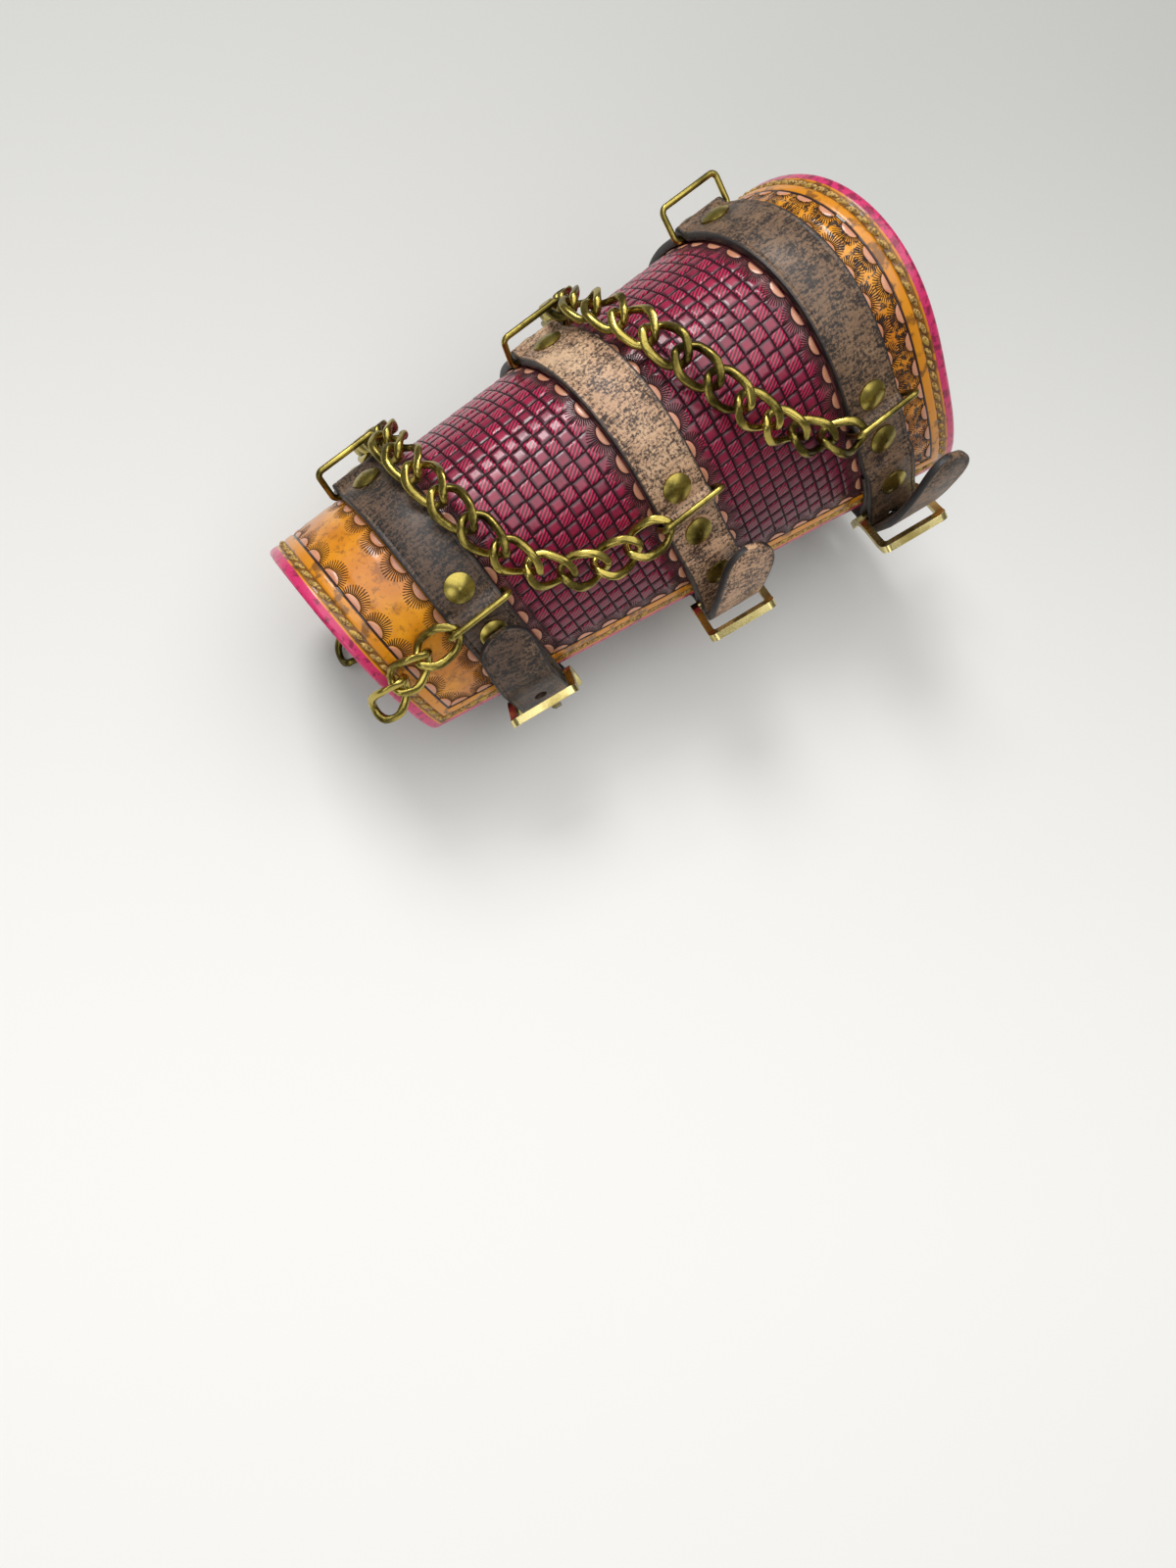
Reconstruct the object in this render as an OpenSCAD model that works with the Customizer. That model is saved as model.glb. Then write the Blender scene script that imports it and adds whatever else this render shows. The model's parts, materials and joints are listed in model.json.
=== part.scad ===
// A buckled leather bracer lying on its side.
// The leather is a flat trapezoid, curled into a slim pear-shaped cone that stays open at the seam.
// x and y on the flat leather: y runs from the wrist edge to the elbow edge, x runs across it,
// and the buckles are at the edge on the +x side. h is the height above the back of the outer leather.

/* [Leather] */
// Width of the flat leather along the wrist edge
wrist_w = 200; // [190:1:210]
// Width of the flat leather along the elbow edge
elbow_w = 308; // [298:1:318]
// Length of the leather from the wrist edge to the elbow edge
sleeve_l = 210; // [206:1:218]
// Angle that the buckled leather covers round the arm
wrap_deg = 318; // [314:1:322]
// How much wider than high the curled section is
oval = 0.045; // [0.02:0.005:0.05]
// How much the curled section narrows towards the seam
pear = 0.07; // [0.05:0.005:0.075]
// Thickness of the tooled outer leather
leather_t = 3; // [2.4:0.1:3.6]
// Thickness of the black lining
lining_t = 1.2; // [0.8:0.1:1.6]
// Radius of the leather's four corners
corner_r = 5; // [3:0.5:8]

/* [Straps] */
// Width of a strap
strap_w = 19; // [17:0.5:20]
// Thickness of a strap
strap_t = 2.8; // [2.4:0.1:3]
// Thickness of the skived end that is folded round the buckle's bar
fold_t = 2; // [1.6:0.1:2.2]
// Distance of the wrist strap from the wrist edge
wrist_y = 38.5; // [36:0.5:41]
// Distance of the middle strap from the wrist edge
middle_y = 111; // [108:0.5:114]
// Distance of the elbow strap from the wrist edge
elbow_y = 180.5; // [178:0.5:183]
// Distance from the leather's side edge to the outer pairs of rivets
pair_in = 44; // [43:0.5:46]
// Place of the middle pair of rivets across the leather
pair_mid = 4; // [2:0.5:6]
// Distance between the two rivets of a pair
pair_gap = 18; // [17.6:0.1:19]
// Distance from the side edge to the rivet that closes the fold
fold_rivet_in = 16.5; // [16:0.1:17.5]
// Length of the folded end under the strap
fold_l = 23; // [22:0.5:24]
// Distance between two strap holes
hole_pitch = 17; // [16:0.5:17.5]
// Radius of a strap hole
hole_r = 2.3; // [2:0.1:2.6]

/* [Rivets] */
// Radius of a domed rivet cap
cap_r = 4.8; // [4.4:0.1:4.8]
// Height of a rivet cap
cap_h = 1.9; // [1.5:0.1:2]
// Radius of a rivet's post
post_r = 1.5; // [1.2:0.1:1.8]
// Radius of a rivet's back plate
back_r = 4; // [3.6:0.1:4.2]
// Thickness of a rivet's back plate
back_t = 0.9; // [0.7:0.1:1.2]

/* [Rings] */
// Outer length of a wire ring, across the strap
ring_l = 24.6; // [24.4:0.1:25]
// Outer height of a wire ring
ring_h = 13.2; // [12.8:0.1:13.6]
// Thickness of the ring's wire
ring_wire = 2; // [1.8:0.1:2.1]
// Radius of the ring's corners on the middle of its wire
ring_corner = 2; // [1.5:0.1:2.4]
// Length of the strap's hump over a ring, each way from its top
hump_l = 4.1; // [3.9:0.05:4.15]

/* [Buckles] */
// Radius of the buckle's middle bar
bar_r = 1.5; // [1.3:0.1:1.6]
// Thickness of the buckle's cast frame
frame_t = 2.6; // [2.2:0.1:2.8]
// Distance from the middle bar to the outer end
end_reach = 14.6; // [14:0.1:15.5]
// Height of the outer end above the middle bar
end_rise = 3.9; // [3.7:0.1:4.2]
// Width of the outer end's bar
end_w = 3.5; // [3:0.1:4]
// Distance from the middle bar to the keeper's far side
keeper_reach = 19.5; // [19:0.1:20.5]
// Height of the keeper above the middle bar
keeper_rise = 8.4; // [8.1:0.1:9]
// Width of the keeper's bar along the strap
keeper_w = 4; // [3:0.1:4.5]
// Width of the prong
prong_w = 3; // [2.6:0.1:3.2]
// Thickness of the prong
prong_t = 2.2; // [1.8:0.1:2.4]
// Tilt of the wrist buckle, keeper outwards
wrist_tilt = 4; // [0:1:8]
// Tilt of the middle buckle, keeper outwards
middle_tilt = 24; // [20:1:28]
// Tilt of the elbow buckle, keeper outwards
elbow_tilt = 28; // [24:1:30]

/* [Chain] */
// Distance from one link to the next
link_pitch = 11.7; // [11.5:0.1:11.8]
// Thickness of a link's wire
link_wire = 3; // [2.7:0.1:3.1]
// Outer width of a link
link_w = 13; // [12.6:0.1:13.4]
// Thickness of the flattened link
link_flat = 5.4; // [5:0.1:5.6]
// Links on the front side of the upper swag
upper_links = 10; // [10:1:10]
// Links on the front side of the lower swag
lower_links = 10; // [10:1:10]
// Links that each swag has more of on its back side
back_extra = 1; // [1:1:1]
// Links in each short tail at the wrist
tail_links = 3; // [3:1:3]

/* [Clearances] */
// Gap between pieces that lie on each other
seat = 0.1; // [0.05:0.05:0.15]
// Gap between the straps and the leather
strap_gap = 0.25; // [0.2:0.05:0.3]
// Gap round a part that turns or hangs loose
play = 0.3; // [0.25:0.05:0.35]
// Gap between two links of the chain, end to end
link_play = 1; // [0.9:0.05:1.2]
// Gap round a rivet's post
post_play = 0.1; // [0.05:0.05:0.15]

/* [Hidden] */
STRAPS = ["wrist", "middle", "elbow"];
SIDES = ["front", "back"];
RINGS = ["front", "centre", "back"];
$fn = 48;

magenta = [0.56, 0.06, 0.24];
black = [0.07, 0.06, 0.06];
strap_tones = [[0.2, 0.16, 0.14], [0.55, 0.41, 0.31], [0.34, 0.26, 0.21]];
brass = [0.52, 0.47, 0.2];
steps = 44;
section_k = 1 + pow(oval, 2) + 2.25 * pow(pear, 2);
apex_l = wrist_w * sleeve_l / (elbow_w - wrist_w);
fan_deg = 2 * atan(elbow_w / 2 / (sleeve_l + apex_l));
taper = fan_deg / wrap_deg;
slant = sqrt(1 - pow(taper, 2));
rad = 180 / PI;
strap_ys = [wrist_y, middle_y, elbow_y];
tilts = [wrist_tilt, middle_tilt, elbow_tilt];
strap_bed = leather_t + strap_gap;
bar_in = bar_r + play;
bar_h = strap_bed + fold_t + bar_in;
hump_rise = ring_wire + 2 * play - strap_gap + seat;
ring_bed = leather_t + play + ring_wire / 2;
ring_reach = ring_h - ring_wire;
cheek_y = strap_w / 2 + 2 * play;
frame_half_w = cheek_y + frame_t;
tail_in = bar_in + fold_t + 0.2;
tail_out = tail_in + strap_t;
tail_bend = 60;
link_b = (link_w - link_wire) / 2;
link_a = (link_pitch + link_wire + link_play) / 2;
chain_h = leather_t + play + link_flat / 2;
mid_y = ring_l / 2 - ring_wire / 2 + 1;

// Plain helpers
function unit(v) = v / norm(v);
function mix(a, b, t) = a + (b - a) * t;
function ease(t) = let(c = min(1, max(0, t))) c * c * (3 - 2 * c);
function edge(y) = mix(wrist_w, elbow_w, y / sleeve_l) / 2;

// Angle round the section for a share s of the leather's own length, both in degrees
function bulge(a) = rad * (oval / 2 * sin(2 * a) - pear / 3 * sin(3 * a)) / section_k;
function turn(s) = let(a = s - bulge(s), b = s - bulge(a), c = s - bulge(b)) s - bulge(c);
function section_r(a) = taper / section_k * (1 + oval * cos(2 * a) - pear * cos(3 * a));
// Direction of the straight line of the cone at s, and the outward normal there
function ray(s) = let(a = turn(s), r = section_r(a)) [slant, -r * sin(a), r * cos(a)];
function out(s) = unit(cross(ray(s + 0.5) - ray(s - 0.5), ray(s)));
function arc_of(x, y) = atan2(x, y + apex_l) / taper;
function cone(s, rho, h) = [-apex_l * slant, 0, 0] + rho * ray(s) + h * out(s);
function at(x, y, h) = cone(arc_of(x, y), norm([x, y + apex_l]), h);
// Axes at a place on the leather: along +x, towards the elbow, outwards
function axis_x(x, y) = let(d = at(x + 0.5, y, 0) - at(x - 0.5, y, 0), n = out(arc_of(x, y)))
    unit(d - (d * n) * n);
function axis_z(x, y) = out(arc_of(x, y));
function axis_y(x, y) = cross(axis_z(x, y), axis_x(x, y));

module place(o, ex, ey, ez)
    multmatrix([
        [ex.x, ey.x, ez.x, o.x],
        [ex.y, ey.y, ez.y, o.y],
        [ex.z, ey.z, ez.z, o.z],
        [0, 0, 0, 1]]) children();
module on_leather(x, y, h) place(at(x, y, h), axis_x(x, y), axis_y(x, y), axis_z(x, y)) children();

// How the bracer lies: rolled about its length and pitched down at the wrist
// The bottom line of the leather is level, and rest_h above the table
roll_deg = 60;
rest_h = 11.46;
shift_x = -499.66;
shift_y = 9.21;
low = ray(-2 * roll_deg + rad * (oval / 2 * sin(-4 * roll_deg) - pear / 3 * sin(-6 * roll_deg)) / section_k);
pitch_deg = atan2(norm([low.y, low.z]), low.x);
module stand() translate([shift_x, shift_y, rest_h]) rotate([0, -pitch_deg, 0]) rotate([-roll_deg, 0, 0])
    translate([apex_l * slant, 0, 0]) children();

function inward(faces) = [for (f = faces) [f[0], f[2], f[1]]];
// A closed sheet from a grid of points: rows by cols on the inner side, then the same on the outer
function grid_faces(rows, cols) = let(n = rows * cols) concat(
    [for (i = [0:rows - 2], j = [0:cols - 2]) each let(a = i * cols + j, b = a + cols)
        [[a, b, a + 1], [a + 1, b, b + 1]]],
    [for (i = [0:rows - 2], j = [0:cols - 2]) each let(a = n + i * cols + j, b = a + cols)
        [[a, a + 1, b], [a + 1, b + 1, b]]],
    [for (j = [0:cols - 2], i = [0, rows - 1]) each let(a = i * cols + j, c = a + n)
        i == 0 ? [[a, a + 1, c], [a + 1, c + 1, c]] : [[a, c, a + 1], [a + 1, c, c + 1]]],
    [for (i = [0:rows - 2], j = [0, cols - 1]) each let(a = i * cols + j, b = a + cols)
        j == 0 ? [[a, a + n, b], [b, a + n, b + n]] : [[a, b, a + n], [b, b + n, a + n]]]);

function corner_cut(d) = d >= corner_r ? 0 : corner_r - sqrt(pow(corner_r, 2) - pow(corner_r - d, 2));
corner_rows = [0, 0.15, 0.45, 1];
sheet_rows = [for (d = corner_rows) d * corner_r, for (d = turned(corner_rows)) sleeve_l - d * corner_r];
module sheet(h0, h1) {
    points = [for (h = [h0, h1], y = sheet_rows, j = [0:steps])
        at((2 * j / steps - 1) * (edge(y) - corner_cut(min(y, sleeve_l - y))), y, h)];
    polyhedron(points, inward(grid_faces(len(sheet_rows), steps + 1)), convexity = 6);
}

// Places across the leather of a strap's rings and rivets
function ring_xs(y) = [edge(y) - pair_in, pair_mid, pair_in - edge(y)];
function rivet_xs(y) = concat([edge(y) - fold_rivet_in],
    [for (x = ring_xs(y)) each [x + pair_gap / 2, x - pair_gap / 2]]);
function over_flap(x, y) = ease((x - (edge(y) - fold_l - 5)) / 4.5);
function hump(d) = abs(d) < hump_l ? hump_rise * pow(cos(90 * d / hump_l), 2) : 0;
function strap_low(x, y) = let(r = ring_xs(y))
    strap_bed + hump(x - r[0]) + hump(x - r[1]) + hump(x - r[2]) + over_flap(x, y) * (fold_t + seat);
function cap_seat(x, y) = strap_low(x, y) + strap_t + seat;

// A strap is a ribbon of stations: middle of the inner face, middle of the outer face, width axis,
// half width
function laid(x, y) = let(h = strap_low(x, y))
    [at(x, y, h), at(x, y, h + strap_t), axis_y(x, y), strap_w / 2];
hump_shares = [1, 0.8, 0.6, 0.42, 0.25, 0.1, -0.1, -0.25, -0.42, -0.6, -0.8, -1];
function hump_xs(x) = [for (k = hump_shares) x + k * hump_l];
function between(a, b, n) = [for (i = [1:n - 1]) mix(a, b, i / n)];
function flap_x(y) = edge(y) - fold_l;

// The buckle's own axes: origin on the middle bar, +x to the outer end, tilted about the bar
function bar_at(y) = at(edge(y), y, bar_h);
function edge_x(i) = axis_x(edge(strap_ys[i]), strap_ys[i]);
function edge_z(i) = axis_z(edge(strap_ys[i]), strap_ys[i]);
function buckle_x(i) = cos(tilts[i]) * edge_x(i) - sin(tilts[i]) * edge_z(i);
function buckle_z(i) = cos(tilts[i]) * edge_z(i) + sin(tilts[i]) * edge_x(i);
function in_buckle(i, x, z) = bar_at(strap_ys[i]) + x * buckle_x(i) + z * buckle_z(i);
function bar_spot(y, r, a) = bar_at(y) + r * (cos(a) * axis_x(edge(y), y) + sin(a) * axis_z(edge(y), y));
module in_buckle_frame(i) place(bar_at(strap_ys[i]), buckle_x(i), buckle_w(i), buckle_z(i)) children();

// The folded end: under the strap, round the bar, and up to where the strap lies on its own flap
fold_in = 2;
rise_in = 5.2;
rise_h = 1.9;
lie_in = 9.5;
function fold_stations(y) = let(w = axis_y(edge(y), y), x0 = flap_x(y), x1 = edge(y) - fold_in) concat(
    [for (x = [x0, mix(x0, x1, 0.35), mix(x0, x1, 0.7), x1])
        [at(x, y, strap_bed + fold_t), at(x, y, strap_bed), axis_y(x, y), strap_w / 2]],
    [for (a = [-90:22.5:112.5])
        [bar_spot(y, bar_in, a), bar_spot(y, bar_in + fold_t, a), w, strap_w / 2]],
    [for (x = [edge(y) - rise_in]) let(h = strap_low(x, y) + rise_h)
        [at(x, y, h), at(x, y, h + (fold_t + strap_t) / 2), axis_y(x, y), strap_w / 2]]);

// The part that is riveted to the leather, as far as its last rivet
function laid_xs(y) = let(r = ring_xs(y), e = edge(y)) concat(
    [e - lie_in, e - lie_in - 4.5, e - lie_in - 9.5, e - fold_l],
    [for (k = [1, 2, 3, 4]) e - fold_l - k * 1.25],
    [e - fold_l - 8.5], hump_xs(r[0]), flat_xs(r[0], r[1]), hump_xs(r[1]), flat_xs(r[1], r[2]),
    hump_xs(r[2]), [r[2] - pair_gap / 2 - cap_r]);
flat_step = 4.2;
function flat_xs(a, b) = between(a - hump_l, b + hump_l, ceil((a - b) / flat_step));

// The free end lies straight on the leather and a little past its edge, then crosses the seam
function free_x(y) = ring_xs(y)[2] - pair_gap / 2 - cap_r;
free_n = 4;
past_edge = 4;
function free_station(y, k) = let(x = mix(free_x(y), -edge(y) - past_edge, k / free_n))
    [at(x, y, strap_bed), at(x, y, strap_bed + strap_t), axis_y(x, y), strap_w / 2];

// A curve between two stations with known directions
function bezier(a, b, c, d, t) =
    pow(1 - t, 3) * a + 3 * pow(1 - t, 2) * t * b + 3 * (1 - t) * t * t * c + pow(t, 3) * d;
function curve_dir(a, b, c, d, t) = unit(bezier(a, b, c, d, t + 0.01) - bezier(a, b, c, d, t - 0.01));
function square_to(w, d) = unit(w - (w * d) * d);
function curved(p, w0, w1, t, half) = let(
    c = bezier(p[0], p[1], p[2], p[3], t), d = curve_dir(p[0], p[1], p[2], p[3], t),
    w = square_to(mix(w0, w1, t), d), n = cross(w, d))
    [c - n * strap_t / 2, c + n * strap_t / 2, w, half];
function middle(s) = (s[0] + s[1]) / 2;

// Through the buckle: a straight run under the outer end, a bend over the bar, a straight run to the keeper
bend_mid = (tail_in + tail_out) / 2;
run_in = 11;
bend_outs = [106, 104, 106];
run_out = keeper_reach + 0.5;
function run_at(i, r, s) = let(b = tail_bend)
    in_buckle(i, r * cos(b) + s * sin(b), r * sin(b) - s * cos(b));
function run_out_at(i, r, s) = let(b = bend_outs[i])
    in_buckle(i, r * cos(b) - s * sin(b), r * sin(b) + s * cos(b));
function buckle_w(i) = axis_y(edge(strap_ys[i]), strap_ys[i]);
function buckled_stations(i) = concat(
    [for (s = [run_in, run_in / 2, 0])
        [run_at(i, tail_in, s), run_at(i, tail_out, s), buckle_w(i), strap_w / 2]],
    [for (k = [1:5]) let(a = mix(tail_bend, bend_outs[i], k / 5))
        [in_buckle(i, tail_in * cos(a), tail_in * sin(a)), in_buckle(i, tail_out * cos(a), tail_out * sin(a)),
            buckle_w(i), strap_w / 2]],
    [for (s = [run_out / 2, run_out])
        [run_out_at(i, tail_in, s), run_out_at(i, tail_out, s), buckle_w(i), strap_w / 2]]);

// Tips: how far the tip of each tail stands off the leather, and how far it leans to the elbow
tip_h = [10.4, 26, 30];
tip_lean = [1, 9, 10];
tip_back = [37, 34, 34];
function tip_curve(i) = let(y = strap_ys[i], e = edge(y),
    a = (run_out_at(i, tail_in, run_out) + run_out_at(i, tail_out, run_out)) / 2,
    d = -sin(bend_outs[i]) * buckle_x(i) + cos(bend_outs[i]) * buckle_z(i),
    b = at(e - tip_back[i], y + tip_lean[i], tip_h[i]),
    c = at(e - tip_back[i] + 6, y + tip_lean[i] * 0.6, tip_h[i] + (i == 0 ? 0.6 : -0.5)))
    [a, a + d * norm(b - a) * 0.35, c, b];
tip_cuts = [[0.2, 1], [0.4, 1], [0.58, 1], [0.74, 0.97], [0.87, 0.84], [0.95, 0.62], [1, 0.38]];
function tip_stations(i) = let(p = tip_curve(i), y = strap_ys[i], w1 = axis_y(edge(y) - tip_back[i], y))
    [for (c = tip_cuts) curved(p, buckle_w(i), w1, c[0], strap_w / 2 * c[1])];

function gap_curve(i) = let(y = strap_ys[i], s0 = free_station(y, free_n), a = middle(s0),
    b = (run_at(i, tail_in, run_in) + run_at(i, tail_out, run_in)) / 2,
    d0 = -axis_x(-edge(y) - past_edge, y), d1 = -sin(tail_bend) * buckle_x(i) + cos(tail_bend) * buckle_z(i),
    l = norm(b - a))
    [a, a + d0 * l * 0.35, b - d1 * l * 0.35, b];
gap_cuts = [0.16, 0.33, 0.5, 0.67, 0.84];
function gap_stations(i) = let(p = gap_curve(i), w0 = free_station(strap_ys[i], free_n)[2])
    [for (t = gap_cuts) curved(p, w0, buckle_w(i), t, strap_w / 2)];

function strap_stations(i) = let(y = strap_ys[i]) concat(
    fold_stations(y), [for (x = laid_xs(y)) laid(x, y)],
    [for (k = [0.5:0.5:free_n]) free_station(y, k)],
    gap_stations(i), buckled_stations(i), tip_stations(i));

function ribbon_points(list) = [for (s = list) let(w = s[2] * s[3])
    each [s[0] - w, s[0] + w, s[1] + w, s[1] - w]];
function ribbon_faces(n) = concat(
    [[0, 1, 2], [0, 2, 3]],
    [for (i = [0:n - 2], k = [0:3]) each let(a = 4 * i + k, b = 4 * i + (k + 1) % 4)
        [[a, a + 4, b], [b, a + 4, b + 4]]],
    [let(e = 4 * (n - 1)) each [[e, e + 2, e + 1], [e, e + 3, e + 2]]]);
module ribbon(list) polyhedron(ribbon_points(list), inward(ribbon_faces(len(list))), convexity = 10);

// Walking back from the bar along the middle of the free end: point, direction, width axis
function walk(q, l, i = 0) = let(g = norm(q[i + 1][0] - q[i][0])) l <= g || i == len(q) - 2
    ? [mix(q[i][0], q[i + 1][0], l / g), unit(q[i + 1][0] - q[i][0]), mix(q[i][1], q[i + 1][1], l / g)]
    : walk(q, l - g, i + 1);
function run(list) = [for (s = list) [middle(s), s[2]]];
function turned(list) = [for (i = [len(list) - 1:-1:0]) list[i]];
function free_run(i) = run(turned(concat([for (k = [1:free_n]) free_station(strap_ys[i], k)],
    gap_stations(i), [buckled_stations(i)[0], buckled_stations(i)[2]])));
function tail_run(i) = run(concat([for (k = [2:9]) buckled_stations(i)[k]], tip_stations(i)));
// The engaged hole is where the prong crosses the straight run
prong_z = end_rise + frame_t / 2 + seat + prong_t / 2;
prong_x = end_reach - end_w - 0.4;
prong_deg = atan(prong_z / prong_x);
prong_s = bend_mid * tan(tail_bend - prong_deg);
module punch(w) {
    through = unit(cross(w[1], w[2]));
    place(w[0], w[1], cross(through, w[1]), through)
        translate([0, 0, -strap_t]) cylinder(h = 2 * strap_t, r = hole_r);
}
module strap_holes(i) {
    for (k = [1, 2]) punch(walk(free_run(i), prong_s + k * hole_pitch));
    punch(walk(tail_run(i), hole_pitch - prong_s));
    in_buckle_frame(i) rotate([0, -prong_deg, 0]) translate([tail_in - play, 0, 0])
        rotate([0, 90, 0]) cylinder(h = 2 * strap_t + 0.4, r = hole_r);
}
// The slot in the fold that the prong turns in
slot_x = 4.4;
slot_zs = [-4.6, 3.8];
module prong_slot(i) in_buckle_frame(i) translate([-slot_x, -prong_w / 2 - play, slot_zs[0]])
    cube([2 * slot_x, prong_w + 2 * play, slot_zs[1] - slot_zs[0]]);

module strap(i) {
    y = strap_ys[i];
    color(strap_tones[i]) difference() {
        ribbon(strap_stations(i));
        strap_holes(i);
        prong_slot(i);
        for (x = rivet_xs(y)) on_leather(x, y, 0) cylinder(h = cap_seat(x, y) + play, r = post_r + post_play);
    }
}

// Rivets: a domed cap with its post, and a plain back plate inside the lining
dome_h = 1.3;
dome_r = (pow(cap_r, 2) + pow(dome_h, 2)) / 2 / dome_h;
back_seat = 0.5;
back_h = -lining_t - back_seat;
post_end = back_h - back_t / 2;
module rivet_cap() {
    cylinder(h = cap_h - dome_h, r = cap_r);
    intersection() {
        translate([0, 0, cap_h - dome_r]) sphere(r = dome_r, $fn = 72);
        cylinder(h = cap_h, r = cap_r);
    }
}
module rivet_caps(i) color(brass) {
    y = strap_ys[i];
    for (x = rivet_xs(y)) {
        top = cap_seat(x, y);
        on_leather(x, y, top) rivet_cap();
        on_leather(x, y, post_end) cylinder(h = top - post_end + 0.2, r = post_r);
    }
}
module rivet_backs(i) color(brass) {
    y = strap_ys[i];
    for (x = rivet_xs(y)) on_leather(x, y, back_h - back_t) difference() {
        cylinder(h = back_t, r = back_r);
        translate([0, 0, back_t / 2 - 0.1]) cylinder(h = back_t, r = post_r + 0.05);
    }
}

module outer_leather() color(magenta) difference() {
    sheet(seat / 2, leather_t);
    rivet_holes();
}
module lining() color(black) difference() {
    sheet(-seat / 2 - lining_t, -seat / 2);
    rivet_holes();
}
module rivet_holes() for (y = strap_ys, x = rivet_xs(y))
    on_leather(x, y, -lining_t - 3) cylinder(h = lining_t + leather_t + 6, r = post_r + post_play);

// A buckle's frame: a flat frame cut to a wave that rises from the middle bar to both ends
function wave(x) = x > 0 ? end_rise * ease(x / (end_reach - end_w / 2))
    : keeper_rise * ease(-x / (keeper_reach - keeper_w / 2));
wave_n = 26;
module wave_band() {
    xs = [for (k = [0:wave_n]) mix(-keeper_reach - 1, end_reach + 1, k / wave_n)];
    t = frame_t / 2;
    polygon(concat([for (x = xs) [x, wave(x) - t * tall(x)]],
        [for (x = turned(xs)) [x, wave(x) + t * tall(x)]]));
}
function tall(x) = 1 / cos(atan2(wave(x + 0.1) - wave(x - 0.1), 0.2));
module rounded(x0, x1, w, r0, r1) {
    translate([x0 + r0, -w]) square([x1 - r1 - x0 - r0, 2 * w]);
    translate([x0, r0 - w]) square([r0, 2 * (w - r0)]);
    translate([x1 - r1, r1 - w]) square([r1, 2 * (w - r1)]);
    for (s = [-1, 1]) {
        translate([x0 + r0, s * (w - r0)]) circle(r = r0);
        translate([x1 - r1, s * (w - r1)]) circle(r = r1);
    }
}
module buckle_frame(i) color(brass) in_buckle_frame(i) {
    intersection() {
        rotate([90, 0, 0]) linear_extrude(3 * frame_half_w, center = true) wave_band();
        translate([0, 0, -5]) linear_extrude(keeper_rise + 10) difference() {
            rounded(-keeper_reach, end_reach, frame_half_w, 3, 6);
            rounded(-keeper_reach + keeper_w, end_reach - end_w, cheek_y, 1, 1.4);
        }
    }
    rotate([90, 0, 0]) cylinder(h = 2 * frame_half_w - 0.2, r = bar_r, center = true);
}
// The prong: an eye round the bar and a flat shank that rests on the outer end
eye_in = bar_r + 0.1;
eye_out = eye_in + 1.2;
prong_knob = prong_t / 2 + 0.08;
module buckle_prong(i) color([0.3, 0.28, 0.2]) in_buckle_frame(i) rotate([90, 0, 0])
    linear_extrude(prong_w, center = true)
    difference() {
        union() {
            circle(r = eye_out);
            rotate([0, 0, prong_deg]) translate([0, -prong_t / 2])
                square([norm([prong_x, prong_z]), prong_t]);
            translate([prong_x, prong_z]) circle(r = prong_knob);
            translate([prong_x, prong_z - prong_t / 2]) square([end_w + 1.4, prong_t]);
            translate([prong_x + end_w + 1.4, prong_z]) circle(r = prong_knob);
        }
        circle(r = eye_in);
    }

// A wire ring stands on the long side that the strap's hump holds, leaning by lean degrees towards +x
ring_leans = [[-20, 25, 52], [-30, 35, 52], [-30, 0, 52]];
module ring_wire_shape() {
    w = ring_l / 2 - ring_wire / 2 - ring_corner;
    h = ring_reach - 2 * ring_corner;
    r = ring_wire / 2;
    for (z = [0, ring_reach]) translate([0, 0, z]) rotate([90, 0, 0])
        cylinder(h = 2 * w, r = r, center = true, $fn = 20);
    for (s = [-1, 1]) {
        translate([0, s * (w + ring_corner), ring_corner]) cylinder(h = h, r = r, $fn = 20);
        for (k = [0, 1]) translate([0, s * w, ring_corner + k * h]) rotate([0, 90, 0])
            rotate([0, 0, s * 90 + (s > 0 ? (k == 0 ? -90 : 0) : (k == 0 ? 0 : -90))])
            rotate_extrude(angle = 90, $fn = 40) translate([ring_corner, 0]) circle(r = r, $fn = 20);
    }
}
function ring_up(i, k) = let(x = ring_xs(strap_ys[i])[k], y = strap_ys[i], a = ring_leans[i][k])
    cos(a) * axis_z(x, y) + sin(a) * axis_x(x, y);
function ring_o(i, k) = at(ring_xs(strap_ys[i])[k], strap_ys[i], ring_bed);
module ring(i, k) color(brass) {
    x = ring_xs(strap_ys[i])[k];
    y = strap_ys[i];
    on_leather(x, y, ring_bed) rotate([0, ring_leans[i][k], 0]) ring_wire_shape();
}

// A curb link: a round-wire oval, twisted a quarter turn end to end and pressed flat
link_sides = 6;
link_arc = [-90, -45, 0, 45, 90];
link_side = 0.9;
link_line = concat(
    [for (a = link_arc) [link_a - link_b + link_b * cos(a), link_b * sin(a), a]],
    [[link_side, link_b, 90], [-link_side, link_b, 90]],
    [for (a = link_arc) [-link_a + link_b - link_b * cos(a), -link_b * sin(a), a + 180]],
    [[-link_side, -link_b, -90], [link_side, -link_b, -90]]);
link_twist = 55;
function pressed(p) = [p.x, p.y, max(-link_flat / 2, min(link_flat / 2, p.z))];
function twisted(p) = let(t = link_twist * min(1, max(-1, p.x / link_a)))
    [p.x, p.y * cos(t) - p.z * sin(t), p.y * sin(t) + p.z * cos(t)];
link_points = [for (c = link_line, k = [0:link_sides - 1])
    let(f = 360 * (k + 0.5) / link_sides, r = link_wire / 2)
    pressed(twisted([c.x + r * cos(f) * cos(c.z), c.y + r * cos(f) * sin(c.z), r * sin(f)]))];
link_faces = let(n = len(link_line), m = link_sides) [for (i = [0:n - 1], k = [0:m - 1]) each
    let(i2 = (i + 1) % n, k2 = (k + 1) % m, a = i * m + k, b = i2 * m + k, c = i * m + k2, d = i2 * m + k2)
    [[a, c, b], [c, d, b]]];
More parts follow.
